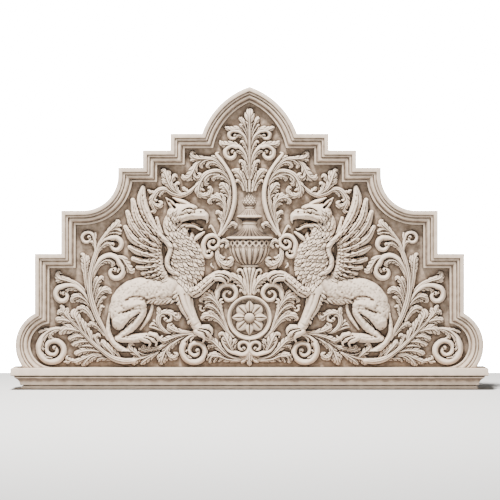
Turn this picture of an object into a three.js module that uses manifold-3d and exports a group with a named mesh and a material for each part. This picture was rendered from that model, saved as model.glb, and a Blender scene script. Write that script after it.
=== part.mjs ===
// Pediment section: a symmetrical carved crest, one stone panel on a separate moulded base course.
// Two griffins stand back from a covered urn among acanthus scrolls, inside a stepped frame moulding
// that ends in an ogee point. Everything is cut from the ground of the panel.
//
// Millimetres, +Z up, front faces -Y. The origin is the middle of the bed, halfway through the depth.

import * as THREE from 'three';
import { mergeVertices } from 'three/addons/utils/BufferGeometryUtils.js';
import Module from 'manifold-3d';

const wasm = await Module();
wasm.setup();

// Driving dimensions
const DEPTH = 180;              // front of the base fillet to the back of the blocks
const BACK = DEPTH / 2;
const BASE_TOP = 88;            // height of the base course
const BED_JOINT = 0.3;          // open joint between the base and the panel
const BASE_HALF = 950;          // half length of the top fillet of the base
const APEX = 1207;              // height of the crest
const GROUND = -20;             // plane of the sunk ground
const SQUARE = 4;               // one square of the setting-out grid that the carving is drawn on

// Outline of the panel, right half: four steps, a lobe at the foot, a cove and an ogee head
const LOBE = { x: 787, z: 177, r: 145 };
const EAR = { half: 855, top: 542 };
const SHOULDER = { half: 750, top: 714 };
const COVE = { x: 664, z: 855, r: 141 };
const STEPS = [{ half: 523, top: 885 }, { half: 425, top: 954 }, { half: 315, top: 1020 }];
const OGEE = { foot: 189, centre: -96, z: 921 };

// Frame moulding, from the outer edge inward: [distance in, front plane]
const FRAME = [
  [0, -70], [17, -70], [19, -63], [27, -62], [30, -56], [46, -49], [48, -41], [57, -39], [58, GROUND],
];

// Base course, from the bed up: [height, set back from the top fillet]
const BASE = [
  [0, 41], [14, 41], [15, 48], [18, 48], [19, 37], [27, 35], [33, 33], [40, 27], [46, 20], [50, 15],
  [57, 14], [58, 0], [BASE_TOP, 0],
];

// Stonecutting helpers

function toSolid(geometry) {
  geometry.deleteAttribute('normal');
  geometry.deleteAttribute('uv');
  const merged = mergeVertices(geometry, 1e-4);
  return new wasm.Manifold(new wasm.Mesh({
    numProp: 3,
    vertProperties: new Float32Array(merged.attributes.position.array),
    triVerts: new Uint32Array(merged.index.array),
  }));
}

function toGeometry(solid) {
  const mesh = solid.getMesh();
  const geometry = new THREE.BufferGeometry();
  geometry.setAttribute('position', new THREE.BufferAttribute(mesh.vertProperties, 3));
  geometry.setIndex(new THREE.BufferAttribute(mesh.triVerts, 1));
  geometry.computeVertexNormals();
  return geometry;
}

// Skins a row of equal rings of points into one closed body, with a flat cap on each end.
function skin(rings) {
  const count = rings[0].length;
  const points = rings.flat();
  const faces = [];
  for (let i = 0; i + 1 < rings.length; i += 1) {
    for (let j = 0; j < count; j += 1) {
      const a = i * count + j;
      const b = i * count + ((j + 1) % count);
      faces.push([a, b, b + count], [a, b + count, a + count]);
    }
  }
  const last = (rings.length - 1) * count;
  const cap = (ring) => {
    const flat = ring.map((p) => new THREE.Vector2(p.u, p.v));
    const sense = Math.sign(THREE.ShapeUtils.area(flat));
    return THREE.ShapeUtils.triangulateShape(flat, []).map(([a, b, c]) => {
      const same = Math.sign(THREE.ShapeUtils.area([flat[a], flat[b], flat[c]])) === sense;
      return same ? [a, b, c] : [a, c, b];
    });
  };
  cap(rings[0]).forEach(([a, b, c]) => faces.push([c, b, a]));
  cap(rings.at(-1)).forEach(([a, b, c]) => faces.push([last + a, last + b, last + c]));
  const corner = (i) => new THREE.Vector3(points[i].x, points[i].y, points[i].z);
  const volume = faces.reduce((sum, [a, b, c]) => sum + corner(a).dot(corner(b).cross(corner(c))), 0);
  const geometry = new THREE.BufferGeometry();
  const positions = points.flatMap((p) => [p.x, p.y, p.z]);
  geometry.setAttribute('position', new THREE.Float32BufferAttribute(positions, 3));
  geometry.setIndex(faces.flatMap(([a, b, c]) => (volume < 0 ? [a, c, b] : [a, b, c])));
  return geometry;
}

// Outline

function arc(centre, r, from, to, steps) {
  return Array.from({ length: steps + 1 }, (_, i) => {
    const a = THREE.MathUtils.degToRad(from + ((to - from) * i) / steps);
    return [centre.x + r * Math.cos(a), centre.z + r * Math.sin(a)];
  });
}

function halfOutline() {
  const lobeEnd = THREE.MathUtils.radToDeg(Math.acos((EAR.half - LOBE.x) / LOBE.r));
  const head = { x: OGEE.centre, z: OGEE.z };
  const headRadius = Math.hypot(OGEE.centre, APEX - OGEE.z);
  const degrees = (x, z) => THREE.MathUtils.radToDeg(Math.atan2(z - head.z, x - head.x));
  const steps = [];
  STEPS.forEach(({ half, top }, i) => {
    if (i > 0) {
      steps.push([half, STEPS[i - 1].top]);
    }
    steps.push([half, top]);
  });
  return [
    ...arc(LOBE, LOBE.r, -90, lobeEnd, 10),
    [EAR.half, EAR.top],
    [SHOULDER.half, EAR.top],
    [SHOULDER.half, SHOULDER.top],
    ...arc(COVE, COVE.r, -90, -180, 6),
    ...steps,
    ...arc(head, headRadius, degrees(OGEE.foot, STEPS[2].top), degrees(0, APEX), 6),
  ];
}

// Moves every corner of a closed outline inward by the same distance, with mitred corners.
function inset(outline, distance) {
  return outline.map((p, i) => {
    const before = outline[(i + outline.length - 1) % outline.length];
    const after = outline[(i + 1) % outline.length];
    const a = new THREE.Vector2(p[0] - before[0], p[1] - before[1]).normalize();
    const b = new THREE.Vector2(after[0] - p[0], after[1] - p[1]).normalize();
    const mitre = new THREE.Vector2(-a.y - b.y, a.x + b.x).divideScalar(1 + a.dot(b));
    return [p[0] + mitre.x * distance, p[1] + mitre.y * distance];
  });
}

function framedPanel() {
  const right = halfOutline();
  const left = right.slice(0, -1).reverse().map(([x, z]) => [-x, z]);
  const outline = [...right, ...left];
  const ring = (distance, y) => inset(outline, distance).map(([x, z]) => ({ x, y, z, u: x, v: z }));
  const rings = [ring(0, BACK), ...FRAME.map(([distance, y]) => ring(distance, y))];
  const geometry = skin(rings);
  const below = new THREE.BoxGeometry(2400, 400, 400);
  below.translate(0, 0, BASE_TOP + BED_JOINT - 200);
  return toSolid(geometry).subtract(toSolid(below));
}

// Carved strokes, each drawn once for the right half and mirrored for the left

const ROOT = -1;                // strokes start a square below the ground
const TOLERANCE = 2;            // how far a chord may leave the drawn line, in squares
const strokes = [];
const onAxis = [];

function halfWidth(p, before, after) {
  const turn = new THREE.Vector2(p[0] - before[0], p[1] - before[1])
    .angleTo(new THREE.Vector2(after[0] - p[0], after[1] - p[1]));
  const run = Math.hypot(after[0] - before[0], after[1] - before[1]) / 2;
  return turn > 0.05 ? Math.min(p[2], (0.9 * run) / turn) : p[2];
}

// Leaves out the points that lie within a given distance of the straight run between their neighbours.
function thinned(points, tolerance) {
  const [a, b] = [points[0], points.at(-1)];
  const chord = new THREE.Vector2(b[0] - a[0], b[1] - a[1]);
  const across = (p) => chord.cross(new THREE.Vector2(p[0] - a[0], p[1] - a[1]));
  const off = points.map((p) => Math.abs(across(p)) / chord.length());
  const far = off.indexOf(Math.max(...off.slice(1, -1)));
  if (points.length < 3 || off[far] < tolerance) {
    return [a, b];
  }
  const first = thinned(points.slice(0, far + 1), tolerance);
  return [...first, ...thinned(points.slice(far), tolerance).slice(1)];
}

// A ridge along [x, z, half width] in squares. crest(w) gives its height in squares, and round adds
// a shoulder on each side for the bodies of the animals.
function sweep(drawn, crest, round, into = strokes) {
  const points = thinned(drawn, TOLERANCE);
  const rings = points.map((p, i) => {
    const before = points[Math.max(i - 1, 0)];
    const after = points[Math.min(i + 1, points.length - 1)];
    const along = new THREE.Vector2(after[0] - before[0], after[1] - before[1]).normalize();
    const half = halfWidth(p, before, after);
    const at = (side, height) => ({
      x: SQUARE * (p[0] - along.y * side * half),
      y: GROUND - SQUARE * height,
      z: SQUARE * (p[1] + along.x * side * half),
      u: side,
      v: height,
    });
    const h = crest(p[2]);
    return round
      ? [at(-1, ROOT), at(-0.8, h * 0.7), at(0, h), at(0.8, h * 0.7), at(1, ROOT)]
      : [at(-1, ROOT), at(0, h), at(1, ROOT)];
  });
  into.push(skin(rings));
}

const rib = (lift, ...points) => sweep(points, (w) => 2 + 1.5 * w + 2 * lift, false);
const limb = (height, ...points) => sweep(points, (w) => height * Math.min(1, 0.5 + w / 14), true);

// A ridge that runs along the lead points and then winds round a centre, with a ball at its eye.
function volute(lift, lead, centre, [outer, inner], [from, to], [startWidth, endWidth]) {
  const turns = Math.ceil(Math.abs(to - from) / 60);
  const winding = Array.from({ length: turns + 1 }, (_, i) => {
    const t = i / turns;
    const a = THREE.MathUtils.degToRad(THREE.MathUtils.lerp(from, to, t));
    const r = THREE.MathUtils.lerp(outer, inner, t);
    const width = THREE.MathUtils.lerp(startWidth, endWidth, t);
    return [centre[0] + r * Math.cos(a), centre[1] + r * Math.sin(a), width];
  });
  const half = Math.ceil(turns / 2);
  rib(lift, ...lead, ...winding.slice(0, half + 1));
  rib(lift, ...winding.slice(half));
}

function lowerScroll() {
  // volute beside the drop under the rosette
  volute(0, [[27, 50, 1.6], [25, 44, 2.2], [20, 38.2, 2.6]], [6.8, 42.3], [8.2, 2.6], [-62, -400],
      [2.6, 1.4]);
  // stems that run out from the centre to the paw
  rib(0, [2, 36.5, 1.2], [7, 32.2, 1.9], [15, 31.4, 2.1], [23, 34.8, 2.4], [30, 41.5, 2.8],
      [36, 47.5, 2.8], [44, 52.5, 2.4]);
  rib(0, [4, 33, 1.4], [11, 29.4, 2.0], [22, 30, 2.2], [30, 33, 2.6], [37, 33.5, 2.8]);
  // great volute in the middle of each side
  volute(0, [[52, 54.6, 1.4], [59, 53.2, 2.0], [65.3, 48, 2.6]], [54.3, 38.6], [13.6, 4.6], [30, -395],
      [3.2, 1.7]);
  // sprays that spread from the paw along the bed
  rib(0.3, [56, 55.4, 1.4], [67, 54.6, 2.2], [77, 51.6, 2.4], [84.5, 48.6, 2.6], [88.4, 50.4, 1.8],
      [87.2, 52.6, 1.1]);
  rib(0.2, [66, 54, 1.4], [78, 48, 1.8], [89, 42, 2.0], [98, 39.6, 2.0], [104.5, 40.5, 2.6],
      [105.6, 43.2, 1.4]);
  rib(0.2, [70, 51, 1.6], [78.5, 44.6, 2.2], [82.3, 38.4, 2.3], [80.3, 33.2, 2.3], [75.4, 31.6, 2.2],
      [72.8, 34.4, 1.7], [74.8, 36.4, 1.0]);
  // curl between the forelegs and the haunch
  rib(0, [76, 56, 1.1], [85, 58.4, 2.0], [90.4, 64.5, 2.4], [90.8, 71, 2.4], [88, 75.6, 2.2],
      [82, 77.4, 2.2], [76.4, 74.6, 2.6], [71.8, 72, 2.6], [70.4, 75.4, 1.6]);
  volute(0.2, [[86, 76.2, 1.6]], [82, 71.3], [5.2, 2.2], [95, 330], [1.9, 1.3]);
}

function outerFronds() {
  // stem of the great leaf, rising from the bed to the corner of the frame
  rib(0, [115, 28.6, 2.8], [126, 28.4, 3.4], [136, 31.2, 3.2], [146, 37.8, 2.8], [157, 47, 2.4],
      [168, 58.4, 2.2], [178, 68.6, 2.2], [185, 77, 2.4], [187, 82.4, 1.8], [185, 83.4, 1.1]);
  const fingers = [
    [[170, 62, 2.4], [173, 70, 3], [173, 76, 1.6]],
    [[161, 51, 2], [166, 62, 2.6], [168, 71, 1.4]],
    [[180, 70, 2.4], [187, 77, 2.6], [190, 76, 1.2]],
    [[174, 64, 2.2], [183, 68, 3], [190.6, 69, 1.6]],
    [[166, 56, 2.2], [178, 60, 3.2], [187, 56.6, 1.6]],
    [[158, 48, 2.2], [168, 50, 3], [177, 48, 1.4]],
  ];
  fingers.forEach((finger) => rib(0.3, ...finger));
  // lower spray of the great leaf
  rib(0.1, [142, 34.6, 1.4], [154, 38.6, 2.2], [165, 38.4, 2.4], [172.4, 35.6, 1.8]);
  rib(0.2, [146, 34.8, 1.4], [156, 35.4, 2.0], [164, 31.4, 2.2], [172, 28.4, 2.2], [179.6, 28.2, 1.8],
      [182.4, 31, 1.5], [180.6, 33, 1.0]);
  // tall frond beside the tail
  rib(0.2, [140, 49, 2.0], [146, 60, 2.6], [152, 72, 3.0], [156.6, 85, 3.2], [159.4, 98, 3.0],
      [159.4, 110, 2.7], [156.6, 124, 2.4], [152.4, 138, 2.0], [148, 148, 1.8], [141, 157, 1.9],
      [134, 163.6, 2.6], [131.4, 167.2, 1.8], [132.8, 168.6, 1.0]);
  rib(0, [160, 90, 2.0], [162.6, 106, 2.5], [164, 120, 2.8], [164.6, 129, 3.0], [167, 134.4, 1.6],
      [167.6, 133, 0.9]);
  // volute that fills the upper corner
  volute(0, [[153.6, 135, 1.3], [154, 144, 1.5], [155.4, 151.4, 1.7]], [162.2, 150.8], [6.6, 2.5],
      [150, -215], [1.9, 1.3]);
  // curl towards the wing
  volute(0, [[154, 136, 1.2], [150, 144, 1.7], [144, 149.6, 2.1]], [134.2, 144], [7.6, 2.8], [88, 385],
      [2.7, 1.5]);
  // long curl below it
  volute(0, [[158, 112, 1.8], [154.6, 121, 2.2], [148, 130, 2.6], [140, 133.4, 2.8], [133, 131, 3.0]],
      [134.6, 117.4], [9.4, 3.0], [128, 400], [3.0, 1.6]);
  rib(0.1, [134, 132, 2.2], [127, 130.4, 2.8], [122.4, 124, 2.8], [118.6, 118.6, 2.6], [115.8, 119.4, 1.4]);
  // scroll and leaf on the outer side
  rib(0, [160, 88, 1.7], [165, 97.6, 2.0], [173, 105, 2.2], [182, 108.6, 2.4], [189, 110.6, 2.8],
      [192, 113.4, 2.0], [190.6, 116.6, 1.5], [188.4, 115.6, 0.9]);
  volute(0, [[160.6, 88, 2.0], [166, 96.8, 2.4], [174, 103, 2.8], [182, 103.8, 3.0]], [186.2, 93.8],
      [8.2, 2.6], [66, -260], [3.0, 1.6]);
  rib(0.1, [158, 81, 1.8], [163.6, 89, 2.6], [170, 93, 3.0], [175.6, 91.6, 2.4], [177, 88.4, 1.5],
      [175, 87.4, 0.9]);
  // corner volute in the ear of the frame
  volute(0, [[184, 60.6, 1.6], [192, 60.8, 1.7], [200, 58.6, 1.9], [206.6, 52.6, 2.3]], [197, 39.8],
      [14.6, 4.2], [22, -420], [3.3, 1.6]);
}

function upperFronds() {
  // long leaf that springs from the urn scroll to the foot of the gothic head
  rib(0, [30.4, 153.6, 2.0], [23.4, 164, 2.5], [18.2, 175.4, 2.8], [15.2, 188, 2.9], [15.4, 201, 2.8],
      [18.8, 213, 2.6], [24.4, 223, 2.3], [29.6, 230, 2.4], [33, 235, 1.7], [31, 236.6, 0.9]);
  // leaf with the rolled tip before the beak
  rib(0.3, [25.6, 170, 1.8], [24.4, 180, 2.1], [26.6, 187.4, 2.4], [32, 191.4, 2.6], [37.6, 190.8, 2.2],
      [39.8, 187.6, 1.8], [38, 186, 1.0]);
  // first curl
  rib(0.1, [17.4, 203, 1.6], [22.4, 212, 2.2], [29, 217.2, 2.3], [37, 217.4, 2.4], [44.4, 213.6, 2.6],
      [49.4, 206, 2.9], [51.2, 198.4, 2.7], [49.4, 192.4, 1.6]);
  // second curl
  rib(0.1, [21.6, 215, 1.6], [28, 223.4, 2.0], [35.6, 229, 2.3], [44, 230.2, 2.2], [52, 230.6, 2.5],
      [57, 233, 2.1], [57.2, 236.4, 1.5], [54.6, 235.8, 0.9]);
  rib(0.2, [46, 230, 1.6], [53, 224.6, 2.4], [57, 216.6, 3.2], [61, 211.6, 2.6], [65.6, 211.4, 1.9],
      [66.6, 213.8, 1.0]);
  // runner over the griffin's head
  rib(0, [49.6, 208.6, 0.9], [54, 202.6, 1.5], [61, 196.6, 2.1], [69, 193.8, 2.4], [77, 196, 2.3],
      [84, 199.8, 2.2], [90.6, 198.6, 2.4], [95.6, 193, 2.6], [97.4, 186.6, 2.3], [95.2, 181, 1.9],
      [95.4, 177.8, 1.6], [98, 177.4, 0.9]);
  rib(0.3, [70, 195, 1.8], [77, 200, 2.6], [81, 207, 3.2], [83.4, 214, 3.0], [85.6, 218.4, 2.0],
      [87.6, 216.8, 1.2]);
  // S scrolls beside the urn
  volute(0.2, [[30, 146, 1.6], [31.6, 151, 1.9], [36.4, 153.8, 2.1], [42.4, 151.6, 2.3],
      [46, 145, 2.4]], [40.4, 136.4], [5.0, 2.2], [15, -245], [2.3, 1.3]);
  volute(0.4, [[30.2, 148.4, 1.5], [31.2, 143.6, 1.9]], [37, 145.4], [5.2, 2.6], [208, 470], [1.9, 1.4]);
  rib(0.1, [31, 142.6, 1.5], [32.2, 135.6, 2.4], [29.6, 128, 3.0], [23.4, 124.2, 3.0],
      [18.4, 126.8, 2.0], [18, 130.6, 1.6], [20.6, 130.8, 1.0]);
}

function rosetteFronds() {
  // leaves that climb round the rosette to the lifted paw
  rib(0, [16, 52.4, 1.4], [23, 59.4, 1.9], [29, 67.4, 2.3], [36, 72.8, 3.0], [43, 73.8, 2.8],
      [46.6, 71, 1.8], [45, 69.2, 1.0]);
  rib(0.1, [22, 59.6, 1.5], [28, 73, 2.1], [34, 80.8, 2.5], [40, 84, 2.3], [43.4, 83.2, 1.3]);
  rib(0.1, [24, 62, 1.4], [28.6, 78, 2.0], [34, 87.6, 3.0], [40, 92, 3.0], [46, 91.6, 2.0],
      [48.8, 89, 1.4], [47, 87.4, 0.9]);
  volute(0, [[26, 66, 1.4], [30.4, 76, 1.6], [33, 88, 2.1]], [21.4, 95.4], [11.4, 3.0], [-6, 375],
      [2.6, 1.4]);
  volute(0, [[50, 84, 1.2]], [46.6, 80.6], [3.0, 1.4], [60, -200], [1.3, 0.9]);
  // frond from the urn's foot to the lifted paw
  rib(0.1, [4.4, 96, 2.0], [5.8, 103, 2.9], [10.6, 109.4, 3.0], [17.4, 113.2, 2.4]);
}

function plume() {
  // central plume over the urn: half of each pair of leaves
  rib(0.3, [0, 196, 1.2], [0, 212, 1.5], [0, 230, 1.8], [0, 250, 1.9], [0, 264, 2.4], [0, 272.6, 3.6],
      [0, 277, 3.2], [0, 280.8, 0.8]);
  // upper pair of curls
  volute(0, [[1.6, 244, 1.4], [4.6, 253, 1.9], [10, 258, 2.3]], [16.2, 254.4], [5.2, 2.0], [118, -190],
      [2.4, 1.3]);
  // lower pair of curls
  volute(0, [[1.4, 226, 1.5], [4.4, 236, 1.9], [10.4, 242.6, 2.4]], [18, 236.6], [7.8, 2.6],
      [125, -240], [2.8, 1.5]);
  // lowest pair of leaves
  rib(0, [2.6, 195, 1.5], [4.6, 204, 2.0], [7.6, 212, 2.6], [12, 218.2, 2.4], [16.4, 219.4, 1.3]);
  // calyx that carries the urn
  rib(0, [0, 95, 2.2], [0, 104, 2.7], [0, 112, 3.4], [0, 119, 4.2]);
  rib(0.3, [2, 97, 1.2], [4.6, 113, 2.0], [7, 118, 2.4], [12, 117.6, 1.4]);
}

function griffinMasses() {
  // height above the ground in squares, then [x, z, half width] along the middle of each mass
  limb(9, [74, 170, 10], [72, 157, 13.5], [66, 143, 16.5], [62, 128, 17.6], [62, 114, 17], [70, 102, 14.5]);
  limb(9.5, [66, 106, 13], [84, 99, 14], [104, 98, 14], [118, 93, 14.5], [127, 86, 12]);
  limb(11, [118, 88, 11], [121, 80, 16], [123, 74, 16], [127, 66, 11]);
  // standing foreleg and its paw
  limb(10.5, [68, 97, 10], [65, 86, 8.6], [60.6, 74, 7], [55, 65, 5.6], [48, 59, 5.4], [41.6, 57, 4.4]);
  // lifted foreleg and its paw
  limb(11.5, [61, 97, 7.5], [51, 99.5, 6], [43.4, 106, 5], [36, 112.6, 4.6], [29, 113, 4.4],
      [24.6, 110, 3.4]);
  // hind leg: thigh drawn forward, the muscle under it, shin and long paw
  limb(12.4, [122, 83.6, 8.2], [115, 84.6, 7.4], [108.4, 84.4, 6.2]);
  limb(11.8, [108, 80, 4.4], [116, 76.6, 6.2], [123, 72, 7.8], [130, 68, 8.2]);
  limb(11, [106.2, 80, 4], [107.6, 75.4, 4.4], [117.6, 62.4, 4.9], [129, 52.4, 3.8]);
  limb(10.4, [131, 50.6, 4.2], [119, 51, 4.9], [105, 51.8, 4.8], [94, 52.8, 3]);
  // tail
  limb(9, [140, 76, 1], [141, 66, 2.2], [138.4, 50, 3.2], [133, 44.4, 3.6], [126, 38.8, 3.8],
      [119.4, 37, 2.6]);
  // head with its brow, upper beak with its hook, and lower beak
  limb(12, [77, 175, 5.8], [72, 177, 9.4], [65, 178.6, 8.8], [58.6, 178.6, 6.8]);
  limb(13.4, [60, 175, 5.6], [50, 174.8, 5.8], [45, 172.6, 4], [43, 169, 1.8], [43, 166.4, 0.6]);
  limb(11.4, [69, 164.4, 4], [60, 163.4, 2.7], [52.8, 160.8, 2.1], [46.8, 159, 0.8]);
  // ear, and the tuft in front of it
  limb(14.4, [74.4, 181.4, 2.6], [77.6, 184.8, 3.1], [83.6, 191.6, 0.6]);
  limb(12.4, [62, 187, 1.5], [69, 188.6, 2.2], [76.6, 191.6, 0.6]);
}

function griffinWing() {
  // flight feathers from the root out to the tip, upper ones first, then the coverts and the leading edge
  rib(0.9, [87, 150, 2.4], [94.6, 161, 3.2], [102.4, 174, 3.6], [106.4, 189, 3.2], [106, 201, 1.4]);
  rib(0.8, [92, 147, 2.2], [103.6, 158.6, 3.0], [112, 172, 3.2], [116, 189, 1.4]);
  rib(0.7, [94, 142, 2.2], [106, 149.6, 2.8], [116, 162, 2.9], [121.6, 176.6, 1.3]);
  rib(0.7, [93, 138, 2.4], [106, 144, 3.0], [116, 150, 2.9], [123.6, 161, 1.3]);
  rib(0.6, [92, 131, 2.4], [103, 134.4, 2.8], [112, 138, 2.6], [119.2, 141.6, 1.2]);
  rib(0.6, [91, 126.6, 2.2], [104, 127, 2.5], [116.2, 130.6, 1.2]);
  rib(0.5, [91, 122.4, 2.0], [102, 121.2, 2.4], [112, 122, 1.2]);
  rib(0.5, [78, 108, 2.2], [83, 105.4, 2.3], [87.4, 104, 1.1]);
}

function wingEdge() {
  rib(1.2, [88, 153, 2.4], [82, 147, 3.4], [79.6, 139, 3.6], [81.6, 130, 3.8], [82, 122, 3.8],
      [77, 116.6, 3.2], [69, 114.6, 1.8]);
  rib(1.1, [88, 148, 2.8], [88.6, 138, 4.0], [89, 128, 4.2], [88, 119, 3.8], [84, 112, 3.0]);
}

// The urn: half of a turned vase stands out of the ground. [height, radius] in squares.
const URN = [
  [118, 5], [124.6, 9], [127, 13], [130, 15.6], [135, 18.5], [141, 20.2], [149.6, 21],
  [150.4, 23.5], [152, 23.5], [153, 20], [155, 16], [158, 11], [161, 8.4], [164.8, 6.8],
  [166, 7.6], [169, 8.8], [171.8, 12.4], [174, 11], [177, 6.6], [180, 4], [182.4, 4.2],
  [185, 6.2], [189, 6.6], [193, 4], [198, 0.4],
];
const URN_RELIEF = 0.58;        // depth of the half vase against its radius

function lathe(profile, sides, centre, relief) {
  const points = [new THREE.Vector2(0, profile[0][0]), ...profile.map(([z, r]) => new THREE.Vector2(r, z))];
  points.push(new THREE.Vector2(0, profile.at(-1)[0]));
  const geometry = new THREE.LatheGeometry(points.map((p) => p.multiplyScalar(SQUARE)), sides, 0);
  geometry.rotateX(Math.PI / 2);
  geometry.scale(1, relief, 1);
  geometry.translate(centre * SQUARE, GROUND, 0);
  return geometry;
}

function urn() {
  onAxis.push(lathe(URN, 8, 0, URN_RELIEF));
}

// The boss in the middle of the rosette is a low dome.
function dome(x, z, radius, height) {
  const geometry = new THREE.SphereGeometry(1, 8, 6);
  geometry.scale(radius * SQUARE, height * SQUARE, radius * SQUARE);
  geometry.translate(x * SQUARE, GROUND, z * SQUARE);
  onAxis.push(geometry);
}

// The rosette: a roll moulding round eight petals and a boss.
const ROSETTE = { z: 71.6, outer: 22.4, inner: 17.8, height: 5, petal: 17.4, petals: 8 };

function rosette() {
  const { z, outer, inner, height, petal, petals } = ROSETTE;
  const middle = (outer + inner) / 2;
  const roll = [
    [inner, ROOT], [inner + 0.4, height * 0.7], [middle, height], [outer - 0.4, height * 0.7], [outer, ROOT],
  ];
  const section = [...roll, roll[0]].map(([r, y]) => new THREE.Vector2(r * SQUARE, y * SQUARE));
  const ring = new THREE.LatheGeometry(section, 16);
  ring.scale(1, -1, 1);
  ring.translate(0, GROUND, z * SQUARE);
  onAxis.push(ring);
  for (let i = 0; i < petals; i += 1) {
    const a = (i * 2 * Math.PI) / petals;
    const at = (r, w) => [r * Math.cos(a), z + r * Math.sin(a), w];
    const line = [at(3, 1.4), at(9, 4), at(petal - 4, 4.6), at(petal, 1)];
    sweep(line, (w) => 1.4 + 0.6 * w, false, onAxis);
  }
  dome(0, z, 5, 5.4);
}

// Assembly

function carving() {
  lowerScroll();
  outerFronds();
  upperFronds();
  rosetteFronds();
  plume();
  griffinMasses();
  griffinWing();
  wingEdge();
  urn();
  rosette();
}

function mirrored(geometry) {
  const copy = geometry.clone();
  copy.scale(-1, 1, 1);
  const index = copy.index.array;
  for (let i = 0; i < index.length; i += 3) {
    [index[i], index[i + 1]] = [index[i + 1], index[i]];
  }
  return copy;
}

function carvedPanel() {
  carving();
  let stone = framedPanel();
  [...onAxis, ...strokes, ...strokes.map(mirrored)].forEach((geometry) => {
    stone = stone.add(toSolid(geometry));
  });
  return toGeometry(stone);
}

function baseMoulding() {
  const rings = BASE.map(([z, back]) => {
    const half = BASE_HALF - back;
    const front = -BACK + back;
    const corners = [[-half, front], [half, front], [half, BACK], [-half, BACK]];
    return corners.map(([x, y]) => ({ x, y, z, u: x, v: y }));
  });
  return skin(rings);
}

const limestone = new THREE.MeshStandardMaterial({ color: 0xd2c6b8, roughness: 0.9, metalness: 0 });
const duller = { color: 0xcdc1b3, roughness: 0.92, metalness: 0 };
const dullLimestone = new THREE.MeshStandardMaterial(duller);

const panel = new THREE.Mesh(carvedPanel(), limestone);
panel.name = 'carved_panel';

const base = new THREE.Mesh(baseMoulding(), dullLimestone);
base.name = 'base_moulding';

const pediment = new THREE.Group();
pediment.add(base, panel);

export default pediment;
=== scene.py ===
"""Pediment section: a stepped, ogee-headed limestone panel carved with a pair of griffins, a covered urn and
acanthus scrolls, on a moulded base course. Metres, +Z up, the carved front faces -Y.
"""

import bmesh
import bpy
import numpy as np
from bpy.props import FloatProperty, FloatVectorProperty, PointerProperty
from bpy.types import Operator, Panel, PropertyGroup
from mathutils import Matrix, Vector
from mathutils.geometry import delaunay_2d_cdt, tessellate_polygon


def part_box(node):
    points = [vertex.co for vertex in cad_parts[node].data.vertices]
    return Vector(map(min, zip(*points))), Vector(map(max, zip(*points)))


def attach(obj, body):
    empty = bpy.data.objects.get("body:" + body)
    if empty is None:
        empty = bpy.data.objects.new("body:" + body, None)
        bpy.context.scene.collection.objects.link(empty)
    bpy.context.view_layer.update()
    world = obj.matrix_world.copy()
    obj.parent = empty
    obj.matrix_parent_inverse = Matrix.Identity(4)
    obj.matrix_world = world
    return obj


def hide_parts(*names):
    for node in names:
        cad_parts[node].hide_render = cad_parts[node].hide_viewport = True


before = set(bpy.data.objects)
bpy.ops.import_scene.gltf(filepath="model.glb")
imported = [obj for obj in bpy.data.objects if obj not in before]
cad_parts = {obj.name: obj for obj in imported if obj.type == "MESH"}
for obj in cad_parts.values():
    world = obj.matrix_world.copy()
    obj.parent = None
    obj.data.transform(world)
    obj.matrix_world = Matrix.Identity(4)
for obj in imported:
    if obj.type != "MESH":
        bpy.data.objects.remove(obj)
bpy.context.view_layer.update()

bl_info = {
    "name": "Carved Pediment Section",
    "version": (1, 0, 0),
    "blender": (4, 5, 0),
    "location": "View3D > Sidebar > Pediment",
    "description": "Builds a carved limestone pediment panel with its frame moulding and base course",
    "category": "Add Mesh",
}

# The carving is drawn on a grid of squares, as a carver sets it out: x from the centre line, z from the bed.
SQUARE = 0.004
MM = 0.001
PANEL_LOW, PANEL_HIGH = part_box("carved_panel")
BASE_LOW, BASE_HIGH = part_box("base_moulding")
BED = PANEL_LOW[2]                  # underside of the panel
APEX = PANEL_HIGH[2]
BACK = PANEL_HIGH[1]
FRONT = BASE_LOW[1]                 # face of the base fillet, the foremost part of the object
GROUND = FRONT + 0.070              # the sunk ground that the carving stands on

# Outline of the panel, right half, in millimetres
LOBE = (787, 177, 145)              # centre x and z, and radius, of the round ear at the foot
COVE = (664, 855, 141)              # the hollow quarter under the steps
OGEE = (-96, 921)                   # centre x and z of the right-hand arc of the head
STEPS = [(855, 542), (750, 542), (750, 714)]
UPPER_STEPS = [(523, 885), (425, 885), (425, 954), (315, 954), (315, 1020)]

# Section of the frame moulding: distance in from the edge and height above the ground, in millimetres
FRAME_SECTION = [
    (0, 46), (0.6, 48.6), (2.4, 49.6), (15, 50), (16.6, 49.4), (17.4, 47.6), (17.8, 43.6), (19.2, 43),
    (20.4, 43.6), (21.4, 44), (25, 44), (26.4, 43.2), (27.2, 41), (27.8, 36.6), (29.4, 35.6), (31.2, 36.4),
    (33, 37.6), (36, 38), (40, 36.4), (43.4, 33.2), (45.4, 30), (46.6, 26.6), (48.4, 25.6), (50, 26),
    (54, 26), (56, 25), (57, 22), (57.4, 14), (58, 0),
]

# Section of the base course: height and depth of each arris, as distance back from the top fillet
BASE_SECTION = [
    (0, 43), (1.4, 41.4), (3, 41), (13, 41), (14.2, 41.6), (15, 43), (15.6, 48), (18, 48), (18.6, 38),
    (19.6, 36.4), (22, 35.8), (27, 35), (32, 33.2), (37, 30.2), (41.6, 26), (45.6, 20.8), (48.6, 16),
    (50.4, 14.8), (53, 14.4), (55, 14), (56.4, 12.4), (57.2, 6), (57.8, 3), (58.8, 1), (60.4, 0.2), (62, 0),
    (84, 0), (86.4, 0.6), (87.6, 2), (88, 4),
]
EVEN = 0.24           # painted shade on level stone, on a scale from 0, the painted highlight on the crests, to 1, the painted shade in the pits
FACING_LIGHT_AND_SHADE = 0.26         # painted light taken off a face that looks up and painted shade added to one that looks down, as light falls from above


# The height sheet

FLOOR = -1.6         # where the carved surface ends, below the ground
FALL = 7             # how steeply the side of a stroke drops past its edge
LINE_STEP = 0.5      # spacing of the points along a drawn line
LEAF_SPREAD = 1.4    # how far a leaf's lobes reach past its drawn half width, as a factor


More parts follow.
